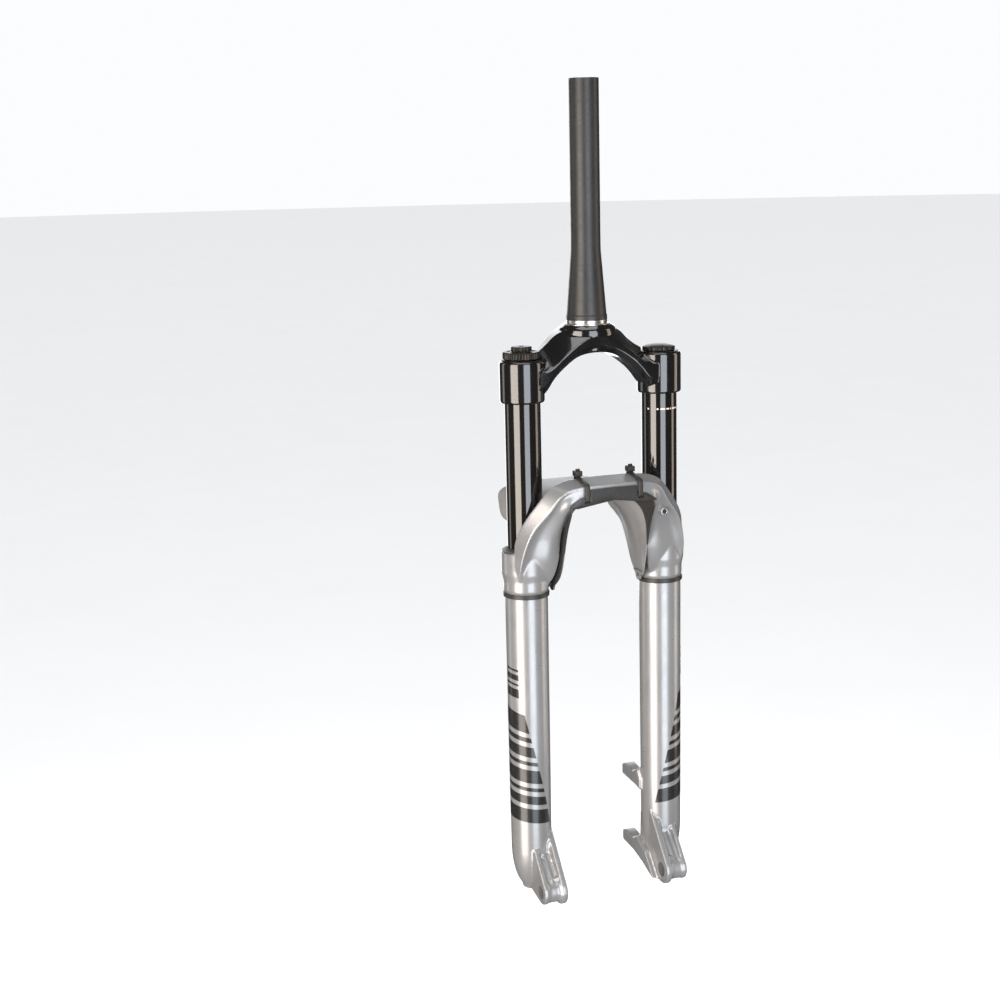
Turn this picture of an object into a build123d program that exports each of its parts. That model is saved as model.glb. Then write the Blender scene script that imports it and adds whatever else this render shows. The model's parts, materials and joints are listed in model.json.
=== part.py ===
from build123d import *
from math import cos, pi, radians, sin
import os

# Air-sprung bicycle suspension fork with 140 mm of travel, built as its separate parts.
# Millimetres. The origin is on the steerer axis, in the plane that the crown race sits on. +Z runs up
# the steerer, -Y is the front of the bicycle, -X its drive side and +X its disc-brake side. The fork
# stands at full extension. The upper assembly is fixed and the lower legs slide up by the travel.

# --- Driving dimensions ---------------------------------------------------------------------------
TRAVEL = 140.0
AXLE_Z = -560.0
AXLE_Y = -46.0
HUB_HALF = 55.0
AXLE_R = 7.5
AXLE_THREAD_R = 6.8

STEERER_R = 14.3
STEERER_BORE_R = 12.1
STEERER_TOP = 231.0
TAPER_TOP = 76.0
RACE_SEAT_R = 19.9
RACE_SEAT_TOP = 7.5
STEERER_FLARE_R = 19.3
STEERER_PRESS_R = 19.5
STEERER_BOTTOM = -25.0
STEERER_LOW_BORE_R = 16.0
STEERER_LOW_BORE_TOP = 8.0
STEERER_BORE_START = 90.0

LEG_X = 73.0
LEG_Y = -9.5
COLLAR_R = 21.8
COLLAR_TOP = -31.0
COLLAR_BOTTOM = -71.5
STANCHION_R = 17.5
STANCHION_BORE_R = 15.2
STANCHION_TOP = -33.0
STANCHION_BOTTOM = -380.0
CAP_ROOM_R = 20.2
CAP_ROOM_HEIGHT = 12.0

BOTTOM_OUT_GAP = 5.5
SEAL_TOP = COLLAR_BOTTOM - TRAVEL - BOTTOM_OUT_GAP
COLLAR_ROOM_R = 23.2
COLLAR_ROOM_TOP = -120.0
LEG_TOP_R = 24.0
LEG_SHOULDER_R = 22.2
LEG_SHOULDER_Z = -255.5
LEG_R_TOP = 21.1
LEG_R_BOTTOM = 20.3
LEG_BORE_R = 18.6
LEG_BORE_BOTTOM = -524.0
LEG_ROUND_Z = -522.0
LEG_FOOT_Z = -568.0
LEG_FOOT_R = 9.5
LEG_FOOT_BULGE = (17.2, -547.5)
LEG_FLOOR_TOP = -541.0
LEG_FLOOR_R = 9.0
BOLT_HOLE_R = 4.2
BOLT_SEAT_R = 7.8
BOLT_SEAT_Z = -553.0
SEAL_POCKET_R = 22.0
SEAL_POCKET_BOTTOM = -231.0
FOAM_POCKET_R = 20.6
FOAM_POCKET_BOTTOM = -241.0

RUNNING = 0.06      # radial clearance of a sliding or turning fit
STATIC = 0.03       # radial clearance of a piece that is pressed or screwed home

SHAFT_R = 5.0
SHAFT_NECK_R = 4.2
ADJUSTER_R = 2.5
ADJUSTER_BOTTOM = -559.5
POST_MOUNT_X = 55.0
POST_MOUNT_END = 33.0
POST_MOUNT_MID_Z = -512.0
POST_MOUNT_SPACING = 74.2
POST_HOLE_R = 2.5
POST_HOLE_DEPTH = 20.0
BOSS_R = 6.6
BOSS_HALF_WIDTH = 6.0

SIDES = {"drive": -1, "disc": 1}
os.makedirs("parts", exist_ok=True)


# --- Helpers --------------------------------------------------------------------------------------
def upright_plane(x, y):
    """Vertical plane whose local X is a radius and local Y is the height, on the axis at (x, y)."""
    return Plane(origin=(x, y, 0), x_dir=(1, 0, 0), z_dir=(0, -1, 0))


def side_plane(x):
    """Plane across the fork at x, with the world's Y and Z as its own X and Y."""
    return Plane(origin=(x, 0, 0), x_dir=(0, 1, 0), z_dir=(1, 0, 0))


def turned(profile, x=0.0, y=0.0):
    """Turned piece: a closed outline of (radius, height) points spun about the upright axis at (x, y)."""
    with BuildPart() as piece:
        with BuildSketch(upright_plane(x, y)):
            with BuildLine():
                Polyline(*profile, close=True)
            make_face()
        revolve(axis=Axis((x, y, 0), (0, 0, 1)))
    return piece


def ring(inner, outer, low, high):
    """Outline of a plain ring, for turned()."""
    return [(inner, low), (outer, low), (outer, high), (inner, high)]


# --- Steerer and crown ----------------------------------------------------------------------------
with BuildPart() as steerer_tube:
    with BuildSketch(upright_plane(0, 0)):
        with BuildLine():
            Polyline(
                (STEERER_BORE_R, STEERER_TOP), (STEERER_R, STEERER_TOP), (STEERER_R, TAPER_TOP),
                (STEERER_FLARE_R, RACE_SEAT_TOP + 1.5), (RACE_SEAT_R, RACE_SEAT_TOP),
                (RACE_SEAT_R, 0), (STEERER_PRESS_R, 0), (STEERER_PRESS_R, STEERER_BOTTOM),
                (STEERER_LOW_BORE_R, STEERER_BOTTOM), (STEERER_LOW_BORE_R, STEERER_LOW_BORE_TOP),
                (STEERER_BORE_R, STEERER_BORE_START), close=True,
            )
        make_face()
    revolve(axis=Axis.Z)
    chamfer(steerer_tube.faces().sort_by(Axis.Z)[-1].edges(), length=0.5)
steerer_tube.part.label = "steerer_tube"
export_step(steerer_tube.part, "parts/steerer_tube.step")

# Crown arm sections, each at its distance from the middle: outlines of (Y, Z) from the top rear edge
# over the bevelled front to the underside and back up the rear.
CROWN_ARM = [
    (0.0, [(18, -2.5), (-14, -2.5), (-28, -13), (-23, -27), (12, -27), (24, -14)]),
    (22.0, [(16, -3.5), (-10, -3.5), (-28.5, -18), (-23, -31.5), (8, -31.5), (20, -17)]),
    (34.0, [(12, -9), (-3, -9), (-29, -26), (-23, -40), (2, -40), (14, -24)]),
    (44.0, [(11, -18), (-2, -18), (-29.5, -35), (-23, -49.5), (0, -49.5), (11, -32)]),
    (54.0, [(9, -25.5), (-4, -25.5), (-29.5, -41), (-24, -62), (0, -62), (9, -42)]),
    (66.0, [(6, -29), (-12, -29), (-29.5, -43), (-26, -67), (4, -67), (8, -44)]),
]

with BuildPart() as crown:
    for sign in SIDES.values():
        for distance, outline in CROWN_ARM:
            with BuildSketch(side_plane(sign * distance)):
                with BuildLine():
                    Polyline(*outline, close=True)
                make_face()
        loft()
    # Boss round the steerer, with the machined ring that the crown race rests on.
    with BuildSketch(upright_plane(0, 0)):
        with BuildLine():
            Polyline(
                (0, 0), (22.6, 0), (23.2, -0.6), (27.5, -3.5), (28.8, -8),
                (26.5, -26), (0, -26), close=True,
            )
        make_face()
    revolve(axis=Axis.Z)
    # Collars that clamp the stanchions.
    for sign in SIDES.values():
        with BuildSketch(upright_plane(sign * LEG_X, LEG_Y)):
            with BuildLine():
                Polyline(
                    (0, COLLAR_TOP), (COLLAR_R - 2, COLLAR_TOP), (COLLAR_R, COLLAR_TOP - 2.5),
                    (COLLAR_R, COLLAR_BOTTOM + 1.5), (COLLAR_R - 1.2, COLLAR_BOTTOM),
                    (0, COLLAR_BOTTOM), close=True,
                )
            make_face()
        revolve(axis=Axis((sign * LEG_X, LEG_Y, 0), (0, 0, 1)))
        with Locations((sign * LEG_X, LEG_Y, COLLAR_BOTTOM)):
            Cylinder(
                STANCHION_R + STATIC, 60, align=(Align.CENTER, Align.CENTER, Align.MIN),
                mode=Mode.SUBTRACT,
            )
        # Room above the collar for the top caps and dials.
        with Locations((sign * LEG_X, LEG_Y, COLLAR_TOP)):
            Cylinder(
                CAP_ROOM_R, CAP_ROOM_HEIGHT, align=(Align.CENTER, Align.CENTER, Align.MIN),
                mode=Mode.SUBTRACT,
            )
    Cylinder(STEERER_PRESS_R + STATIC, 80, mode=Mode.SUBTRACT)
crown.part.label = "crown"
export_step(crown.part, "parts/crown.step")

for side, sign in SIDES.items():
    with BuildPart() as stanchion:
        with Locations((sign * LEG_X, LEG_Y, STANCHION_BOTTOM)):
            Cylinder(
                STANCHION_R, STANCHION_TOP - STANCHION_BOTTOM,
                align=(Align.CENTER, Align.CENTER, Align.MIN),
            )
            Cylinder(
                STANCHION_BORE_R, STANCHION_TOP - STANCHION_BOTTOM,
                align=(Align.CENTER, Align.CENTER, Align.MIN), mode=Mode.SUBTRACT,
            )
        chamfer(stanchion.edges().group_by(Axis.Z)[0].sort_by(SortBy.RADIUS)[-1], length=0.8)
    stanchion.part.label = f"stanchion_{side}"
    export_step(stanchion.part, f"parts/stanchion_{side}.step")

# --- Damper, in the drive-side stanchion ----------------------------------------------------------
DAMPER_X = -LEG_X
CARTRIDGE_R = 13.4
CARTRIDGE_BORE_R = 12.2
CARTRIDGE_BOTTOM = -345.0
CARTRIDGE_TOP = -112.0
CAP_BOTTOM = -60.0
CAP_FLANGE_TOP = -30.4
CAP_FLANGE_R = 19.6
CAP_NECK_R = 17.4
O_RING_Z = -44.0
O_RING_R = 0.72
O_RING_MID_R = 14.43
DIAL_R = 18.2
DIAL_BOTTOM = -29.8
DIAL_TOP = -22.6
DIAL_POST_R = 7.0
DIAL_FLUTES = 40
KNOB_R = 10.0
KNOB_BOTTOM = -22.2
KNOB_TOP = -17.7
KNOB_FLUTES = 18
NEEDLE_R = 2.0

damper_top_cap = turned([
    (NEEDLE_R + RUNNING, CAP_BOTTOM), (STANCHION_BORE_R - STATIC, CAP_BOTTOM),
    (STANCHION_BORE_R - STATIC, O_RING_Z - 1.1), (13.7, O_RING_Z - 1.1),
    (13.7, O_RING_Z + 1.1), (STANCHION_BORE_R - STATIC, O_RING_Z + 1.1),
    (STANCHION_BORE_R - STATIC, STANCHION_TOP), (CAP_NECK_R, STANCHION_TOP),
    (CAP_NECK_R, COLLAR_TOP), (CAP_FLANGE_R, COLLAR_TOP), (CAP_FLANGE_R, CAP_FLANGE_TOP),
    (DIAL_POST_R, CAP_FLANGE_TOP), (DIAL_POST_R, DIAL_TOP - 0.3),
    (NEEDLE_R + RUNNING, DIAL_TOP - 0.3),
], DAMPER_X, LEG_Y)
damper_top_cap.part.label = "damper_top_cap"
export_step(damper_top_cap.part, "parts/damper_top_cap.step")

with BuildPart() as top_cap_o_rings:
    for sign in SIDES.values():
        with Locations((sign * LEG_X, LEG_Y, O_RING_Z)):
            Torus(O_RING_MID_R, O_RING_R)
top_cap_o_rings.part.label = "top_cap_o_rings"
export_step(top_cap_o_rings.part, "parts/top_cap_o_rings.step")

with BuildPart() as high_speed_dial:
    with BuildSketch(upright_plane(DAMPER_X, LEG_Y)):
        with BuildLine():
            Polyline(
                (DIAL_POST_R + RUNNING, DIAL_BOTTOM), (DIAL_R - 1, DIAL_BOTTOM),
                (DIAL_R, DIAL_BOTTOM + 1), (DIAL_R, DIAL_TOP - 1), (DIAL_R - 1, DIAL_TOP),
                (DIAL_POST_R + RUNNING, DIAL_TOP), close=True,
            )
        make_face()
    revolve(axis=Axis((DAMPER_X, LEG_Y, 0), (0, 0, 1)))
    with Locations((DAMPER_X, LEG_Y, DIAL_BOTTOM)):
        with PolarLocations(DIAL_R + 0.35, DIAL_FLUTES):
            Cylinder(
                0.85, DIAL_TOP - DIAL_BOTTOM, align=(Align.CENTER, Align.CENTER, Align.MIN),
                mode=Mode.SUBTRACT,
            )
high_speed_dial.part.label = "high_speed_dial"
export_step(high_speed_dial.part, "parts/high_speed_dial.step")

with BuildPart() as low_speed_knob:
    with BuildSketch(upright_plane(DAMPER_X, LEG_Y)):
        with BuildLine():
            Polyline(
                (0, KNOB_BOTTOM), (KNOB_R, KNOB_BOTTOM), (KNOB_R, KNOB_TOP - 1),
                (KNOB_R - 1, KNOB_TOP), (0, KNOB_TOP), close=True,
            )
        make_face()
    revolve(axis=Axis((DAMPER_X, LEG_Y, 0), (0, 0, 1)))
    with Locations((DAMPER_X, LEG_Y, KNOB_BOTTOM)):
        with PolarLocations(KNOB_R + 0.3, KNOB_FLUTES):
            Cylinder(
                0.8, KNOB_TOP - KNOB_BOTTOM, align=(Align.CENTER, Align.CENTER, Align.MIN),
                mode=Mode.SUBTRACT,
            )
    # Small hexagonal key socket in the top.
    with BuildSketch(Plane.XY.offset(KNOB_TOP)):
        with Locations((DAMPER_X, LEG_Y)):
            RegularPolygon(2.6, 6)
    extrude(amount=-2.2, mode=Mode.SUBTRACT)
low_speed_knob.part.label = "low_speed_knob"
export_step(low_speed_knob.part, "parts/low_speed_knob.step")

low_speed_needle = turned([
    (0, -118), (0.8, -116), (NEEDLE_R, -111), (NEEDLE_R, KNOB_BOTTOM), (0, KNOB_BOTTOM),
], DAMPER_X, LEG_Y)
low_speed_needle.part.label = "low_speed_needle"
export_step(low_speed_needle.part, "parts/low_speed_needle.step")

compression_valve = turned([
    (2.4, -128), (CARTRIDGE_BORE_R - STATIC, -128), (CARTRIDGE_BORE_R - STATIC, CARTRIDGE_TOP),
    (7.0, CARTRIDGE_TOP), (5.5, -106), (5.5, CAP_BOTTOM), (2.4, CAP_BOTTOM),
], DAMPER_X, LEG_Y)
compression_valve.part.label = "compression_valve"
export_step(compression_valve.part, "parts/compression_valve.step")

damper_bladder = turned([
    (12.6, CARTRIDGE_TOP + 0.2), (13.8, CARTRIDGE_TOP + 0.2), (13.8, -106), (12.4, -102),
    (12.4, -70), (13.8, -66), (13.8, CAP_BOTTOM - 0.2), (12.6, CAP_BOTTOM - 0.2), (12.6, -66),
    (11.2, -70), (11.2, -102), (12.6, -106),
], DAMPER_X, LEG_Y)
damper_bladder.part.label = "damper_bladder"
export_step(damper_bladder.part, "parts/damper_bladder.step")

damper_cartridge = turned(
    ring(CARTRIDGE_BORE_R, CARTRIDGE_R, CARTRIDGE_BOTTOM, CARTRIDGE_TOP), DAMPER_X, LEG_Y)
damper_cartridge.part.label = "damper_cartridge"
export_step(damper_cartridge.part, "parts/damper_cartridge.step")

damper_seal_head = turned([
    (SHAFT_R + RUNNING, CARTRIDGE_BOTTOM - 5), (CARTRIDGE_R, CARTRIDGE_BOTTOM - 5),
    (CARTRIDGE_R, CARTRIDGE_BOTTOM), (CARTRIDGE_BORE_R - STATIC, CARTRIDGE_BOTTOM),
    (CARTRIDGE_BORE_R - STATIC, -326), (SHAFT_R + RUNNING, -326),
], DAMPER_X, LEG_Y)
damper_seal_head.part.label = "damper_seal_head"
export_step(damper_seal_head.part, "parts/damper_seal_head.step")

# --- Air spring, in the disc-side stanchion -------------------------------------------------------
AIR_X = LEG_X
VALVE_STEM_R = 4.0
VALVE_STEM_TOP = -27.0
VALVE_CORE_R = 2.6
VALVE_PIN_R = 0.8
VALVE_CAP_R = 16.0
VALVE_CAP_TOP = -23.8
VALVE_CAP_NOTCHES = 16
SPACER_R = 13.0
SPACER_HEIGHT = 15.0

air_top_cap = turned([
    (VALVE_CORE_R, CAP_BOTTOM), (STANCHION_BORE_R - STATIC, CAP_BOTTOM),
    (STANCHION_BORE_R - STATIC, O_RING_Z - 1.1), (13.7, O_RING_Z - 1.1),
    (13.7, O_RING_Z + 1.1), (STANCHION_BORE_R - STATIC, O_RING_Z + 1.1),
    (STANCHION_BORE_R - STATIC, STANCHION_TOP), (CAP_NECK_R, STANCHION_TOP),
    (CAP_NECK_R, COLLAR_TOP), (CAP_FLANGE_R, COLLAR_TOP), (CAP_FLANGE_R, CAP_FLANGE_TOP),
    (VALVE_STEM_R, CAP_FLANGE_TOP), (VALVE_STEM_R, VALVE_STEM_TOP),
    (VALVE_CORE_R, VALVE_STEM_TOP),
], AIR_X, LEG_Y)
air_top_cap.part.label = "air_top_cap"
export_step(air_top_cap.part, "parts/air_top_cap.step")

valve_core = turned(ring(VALVE_PIN_R + RUNNING, VALVE_CORE_R - STATIC, -50, -29), AIR_X, LEG_Y)
valve_core.part.label = "valve_core"
export_step(valve_core.part, "parts/valve_core.step")

valve_pin = turned([
    (0, -52.2), (2.1, -52.2), (2.1, -50.4), (VALVE_PIN_R, -50.4), (VALVE_PIN_R, -27.8), (0, -27.8),
], AIR_X, LEG_Y)
valve_pin.part.label = "valve_pin"
export_step(valve_pin.part, "parts/valve_pin.step")

with BuildPart() as air_valve_cap:
    with BuildSketch(upright_plane(AIR_X, LEG_Y)):
        with BuildLine():
            dome = ThreePointArc(
                (0, VALVE_CAP_TOP), (VALVE_CAP_R * 0.6, VALVE_CAP_TOP - 0.7),
                (VALVE_CAP_R, VALVE_CAP_TOP - 2.6),
            )
            Polyline(
                dome @ 1, (VALVE_CAP_R, CAP_FLANGE_TOP + 0.3),
                (VALVE_STEM_R + RUNNING, CAP_FLANGE_TOP + 0.3),
                (VALVE_STEM_R + RUNNING, VALVE_STEM_TOP + 0.8), (0, VALVE_STEM_TOP + 0.8), dome @ 0,
            )
        make_face()
    revolve(axis=Axis((AIR_X, LEG_Y, 0), (0, 0, 1)))
    with Locations((AIR_X, LEG_Y, VALVE_CAP_TOP)):
        with PolarLocations(VALVE_CAP_R + 0.4, VALVE_CAP_NOTCHES):
            Cylinder(1.5, 16, mode=Mode.SUBTRACT)
air_valve_cap.part.label = "air_valve_cap"
export_step(air_valve_cap.part, "parts/air_valve_cap.step")

with BuildPart() as volume_spacers:
    for count in range(2):
        with BuildSketch(upright_plane(AIR_X, LEG_Y)):
            with BuildLine():
                top = CAP_BOTTOM - 0.2 - count * (SPACER_HEIGHT + 0.2)
                Polyline(
                    (VALVE_CORE_R, top), (SPACER_R, top), (SPACER_R, top - 3),
                    (SPACER_R - 2, top - 5), (SPACER_R - 2, top - SPACER_HEIGHT),
                    (VALVE_CORE_R, top - SPACER_HEIGHT), close=True,
                )
            make_face()
        revolve(axis=Axis((AIR_X, LEG_Y, 0), (0, 0, 1)))
volume_spacers.part.label = "volume_spacers"
export_step(volume_spacers.part, "parts/volume_spacers.step")

air_seal_head = turned(
    ring(SHAFT_R + RUNNING, STANCHION_BORE_R - STATIC, -377.4, -361), AIR_X, LEG_Y)
air_seal_head.part.label = "air_seal_head"
export_step(air_seal_head.part, "parts/air_seal_head.step")

# Open spring ring that holds the seal head in the stanchion.
with BuildPart() as air_snap_ring:
    with Locations((AIR_X, LEG_Y, -378.8)):
        Cylinder(STANCHION_BORE_R - STATIC, 1.2, align=(Align.CENTER, Align.CENTER, Align.MIN))
        Cylinder(13.0, 1.2, align=(Align.CENTER, Align.CENTER, Align.MIN), mode=Mode.SUBTRACT)
        Box(8, 40, 1.2, align=(Align.CENTER, Align.MIN, Align.MIN), mode=Mode.SUBTRACT)
air_snap_ring.part.label = "air_snap_ring"
export_step(air_snap_ring.part, "parts/air_snap_ring.step")

# --- Lower legs casting ---------------------------------------------------------------------------
# Sections of the arch and of the shoulders that carry it down onto the legs. Each section lies in a
# plane that holds the Y direction and leans by an angle from upright to flat. Its outline is four
# corners of (distance outward, Y): outer rear edge, front ridge, front inner edge, rear inner edge.
ARCH = [
    ((0.0, -163.0), 90, [(18.5, -33.5), (13.0, -57), (1.5, -56), (1.5, -33.5)]),
    ((25.0, -164.0), 84, [(19.0, -34), (13.5, -56.5), (1.5, -56), (1.5, -33.5)]),
    ((41.0, -171.0), 58, [(25.0, -38), (17.0, -54), (1.0, -54), (1.0, -33.5)]),
    ((46.0, -186.0), 34, [(32.0, -35), (20.5, -49), (-1.5, -41), (2.5, -32.5)]),
    ((48.0, -205.0), 16, [(41.5, -28), (32.5, -42.5), (-2.5, -34), (3.0, -31.5)]),
    ((50.0, -226.0), 5, [(43.0, -18), (37.5, -35.5), (-3.0, -32), (3.0, -18)]),
    ((51.5, -244.0), 0, [(41.5, -14), (35.5, -28), (0.0, -27.5), (2.0, -13)]),
    ((54.0, -259.0), 0, [(34.0, -9), (30.0, -18), (6.0, -18), (4.0, -9)]),
]


def arch_plane(origin, angle, sign):
    """Section plane whose local X points outward from the wheel space and local Y is the world's Y."""
    outward = (sign * cos(radians(angle)), 0, sin(radians(angle)))
    normal = Vector(outward).cross(Vector(0, 1, 0))
    return Plane(origin=(sign * origin[0], 0, origin[1]), x_dir=outward, z_dir=tuple(normal))


HOSE_HOLE = (60.5, -185.0)
HOSE_HOLE_R = 2.1
HOSE_HOLE_FACE_Y = -45.2
HOSE_HOLE_DEPTH = 9.0
PAD_R = 14.6
PAD_THICKNESS = 5.5
BARREL_R = 12.5
BARREL_END = 79.0
UPPER_BOSS_Z = POST_MOUNT_MID_Z + POST_MOUNT_SPACING / 2
LOWER_BOSS_Z = POST_MOUNT_MID_Z - POST_MOUNT_SPACING / 2
# Lower edge of each boss's gusset, as (Y, Z) from below the boss's end forward, and up into the leg.
UPPER_GUSSET = [(0, -484), (-8, -486), (-8, -475)]
LOWER_GUSSET = [(7, -558.5), (-14, -564), (-26, -569), (-40, -573.5), (-20, -550), (-2, -540)]

with BuildPart() as lower_casting:
    # The arch, with the shoulders that blend it into the legs, from foot to foot.
    for sign, sections in ((-1, ARCH[:0:-1]), (1, ARCH)):
        for origin, angle, corners in sections:
            with BuildSketch(arch_plane(origin, angle, sign)):
                with BuildLine():
                    Polyline(*corners, close=True)
                make_face()
    loft()
    for sign in SIDES.values():
        leg_axis = Axis((sign * LEG_X, LEG_Y, 0), (0, 0, 1))
        # Leg tube with its seal housing, shoulder and rounded foot.
        with BuildSketch(upright_plane(sign * LEG_X, LEG_Y)):
            with BuildLine():
                foot = ThreePointArc(
                    (LEG_R_BOTTOM, LEG_ROUND_Z), LEG_FOOT_BULGE, (LEG_FOOT_R, LEG_FOOT_Z))
                Polyline(
                    foot @ 1, (0, LEG_FOOT_Z), (0, SEAL_TOP - 1), (LEG_TOP_R - 1, SEAL_TOP - 1),
                    (LEG_TOP_R, SEAL_TOP - 2), (LEG_TOP_R, -238), (LEG_SHOULDER_R, -246),
                    (LEG_SHOULDER_R, LEG_SHOULDER_Z), (LEG_R_TOP, LEG_SHOULDER_Z - 2), foot @ 0,
                )
            make_face()
        revolve(axis=leg_axis)
        # Dropout: axle pad at the hub face, barrel outboard of it and the web up to the leg.
        with BuildSketch(side_plane(sign * HUB_HALF)):
            with Locations((AXLE_Y, AXLE_Z)):
                Circle(PAD_R)
            with BuildLine():
                Polyline(
                    (AXLE_Y - PAD_R + 0.6, AXLE_Z + 4), (-19, -506), (2, -512), (4, -556),
                    (-40, AXLE_Z - PAD_R + 1), close=True,
                )
            make_face()
        extrude(amount=sign * PAD_THICKNESS)
        with BuildSketch(side_plane(sign * (HUB_HALF + PAD_THICKNESS))):
            with Locations((AXLE_Y, AXLE_Z)):
                Circle(BARREL_R)
            with BuildLine():
                Polyline(
                    (AXLE_Y - BARREL_R + 0.8, AXLE_Z + 4), (-27, -520), (-8, -515), (-8, -562),
                    (AXLE_Y + 3, AXLE_Z - BARREL_R + 0.5), close=True,
                )
            make_face()
        extrude(amount=sign * (BARREL_END - HUB_HALF - PAD_THICKNESS))
        # Two tapering pockets in the web, with a diagonal rib between them.
        for low, high in ((61.5, 66.5), (68.5, 75.0)):
            with BuildSketch(side_plane(sign * low)):
                with BuildLine():
                    Polyline((-75, -546), (-46, -546), (-31, -534), (-28, -500), (-75, -500), close=True)
                make_face()
            extrude(amount=sign * (high - low), mode=Mode.SUBTRACT)
    # Axle holes: plain on the disc side, the smaller core of a thread on the drive side.
    for sign, radius in ((1, AXLE_R), (-1, AXLE_THREAD_R)):
        with BuildSketch(side_plane(sign * (HUB_HALF - 1))):
            with Locations((AXLE_Y, AXLE_Z)):
                Circle(radius)
        extrude(amount=sign * 30, mode=Mode.SUBTRACT)
    # Brake bosses behind the disc-side leg: arms with flat ends, each on a gusset that slopes down.
    for boss_z, gusset in ((UPPER_BOSS_Z, UPPER_GUSSET), (LOWER_BOSS_Z, LOWER_GUSSET)):
        with BuildSketch(side_plane(POST_MOUNT_X - BOSS_HALF_WIDTH)):
            with BuildLine():
                Polyline(
                    *gusset, (-2, boss_z + BOSS_R), (POST_MOUNT_END, boss_z + BOSS_R),
                    (POST_MOUNT_END, boss_z - BOSS_R), close=True,
                )
            make_face()
        extrude(amount=2 * BOSS_HALF_WIDTH)
    # Bores for the stanchions, seals and bushings, with the bolt hole and its seat in each foot.
    for sign in SIDES.values():
        with BuildSketch(upright_plane(sign * LEG_X, LEG_Y)):
            with BuildLine():
                Polyline(
                    (0, COLLAR_ROOM_TOP), (COLLAR_ROOM_R, COLLAR_ROOM_TOP), (COLLAR_ROOM_R, SEAL_TOP),
                    (SEAL_POCKET_R, SEAL_TOP), (SEAL_POCKET_R, SEAL_POCKET_BOTTOM),
                    (FOAM_POCKET_R, SEAL_POCKET_BOTTOM), (FOAM_POCKET_R, FOAM_POCKET_BOTTOM),
                    (LEG_BORE_R, FOAM_POCKET_BOTTOM), (LEG_BORE_R, LEG_BORE_BOTTOM),
                    (LEG_FLOOR_R, LEG_FLOOR_TOP), (BOLT_HOLE_R, LEG_FLOOR_TOP),
                    (BOLT_HOLE_R, BOLT_SEAT_Z), (BOLT_SEAT_R, BOLT_SEAT_Z),
                    (BOLT_SEAT_R, LEG_FOOT_Z - 1), (0, LEG_FOOT_Z - 1), close=True,
                )
            make_face()
        revolve(axis=Axis((sign * LEG_X, LEG_Y, 0), (0, 0, 1)), mode=Mode.SUBTRACT)
    # Holes for the brake's bolts.
    for boss_z in (UPPER_BOSS_Z, LOWER_BOSS_Z):
        hole_plane = Plane(
            origin=(POST_MOUNT_X, POST_MOUNT_END, boss_z), x_dir=(1, 0, 0), z_dir=(0, -1, 0))
        with BuildSketch(hole_plane):
            Circle(POST_HOLE_R)
        extrude(amount=POST_HOLE_DEPTH, mode=Mode.SUBTRACT)
    # Threaded hole for the brake-hose guide, in its machined spot face on the arch.
    hose_plane = Plane(
        origin=(HOSE_HOLE[0], HOSE_HOLE_FACE_Y, HOSE_HOLE[1]), x_dir=(1, 0, 0), z_dir=(0, 1, 0))
    with BuildSketch(hose_plane):
        Circle(HOSE_HOLE_R)
    extrude(amount=HOSE_HOLE_DEPTH, mode=Mode.SUBTRACT)
    with BuildSketch(hose_plane):
        Circle(4.2)
    extrude(amount=-6, mode=Mode.SUBTRACT)
lower_casting.part.label = "lower_casting"
export_step(lower_casting.part, "parts/lower_casting.step")

# --- Seals and bushings in the legs ---------------------------------------------------------------
BUSHING_R = LEG_BORE_R - STATIC
BUSHING_BORE_R = STANCHION_R + RUNNING
BUSHING_HEIGHT = 20.0
UPPER_BUSHING_Z = -264.0
LOWER_BUSHING_Z = -358.0
FOAM_HEIGHT = 9.0

for side, sign in SIDES.items():
    wiper_seal = turned([
        (STANCHION_R + 0.1, SEAL_TOP + 3.0), (17.8, SEAL_TOP - 5), (20.0, SEAL_TOP - 7),
        (20.0, SEAL_POCKET_BOTTOM + 0.2), (SEAL_POCKET_R - STATIC, SEAL_POCKET_BOTTOM + 0.2),
        (SEAL_POCKET_R - STATIC, SEAL_TOP + 0.1), (23.0, SEAL_TOP + 0.1), (23.0, SEAL_TOP + 1.2),
        (20.0, SEAL_TOP + 1.6), (18.4, SEAL_TOP + 3.6),
    ], sign * LEG_X, LEG_Y)
    wiper_seal.part.label = f"wiper_seal_{side}"
    export_step(wiper_seal.part, f"parts/wiper_seal_{side}.step")

with BuildPart() as foam_rings:
    for sign in SIDES.values():
        with Locations((sign * LEG_X, LEG_Y, FOAM_POCKET_BOTTOM + 0.5)):
            Cylinder(FOAM_POCKET_R - 0.1, FOAM_HEIGHT, align=(Align.CENTER, Align.CENTER, Align.MIN))
            Cylinder(
                STANCHION_R + 0.1, FOAM_HEIGHT, align=(Align.CENTER, Align.CENTER, Align.MIN),
                mode=Mode.SUBTRACT,
            )
foam_rings.part.label = "foam_rings"
export_step(foam_rings.part, "parts/foam_rings.step")

for label, low in (("upper_bushings", UPPER_BUSHING_Z), ("lower_bushings", LOWER_BUSHING_Z)):
    with BuildPart() as bushings:
        for sign in SIDES.values():
            with Locations((sign * LEG_X, LEG_Y, low)):
                Cylinder(BUSHING_R, BUSHING_HEIGHT, align=(Align.CENTER, Align.CENTER, Align.MIN))
                Cylinder(
                    BUSHING_BORE_R, BUSHING_HEIGHT, align=(Align.CENTER, Align.CENTER, Align.MIN),
                    mode=Mode.SUBTRACT,
                )
    bushings.part.label = label
    export_step(bushings.part, f"parts/{label}.step")

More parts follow.
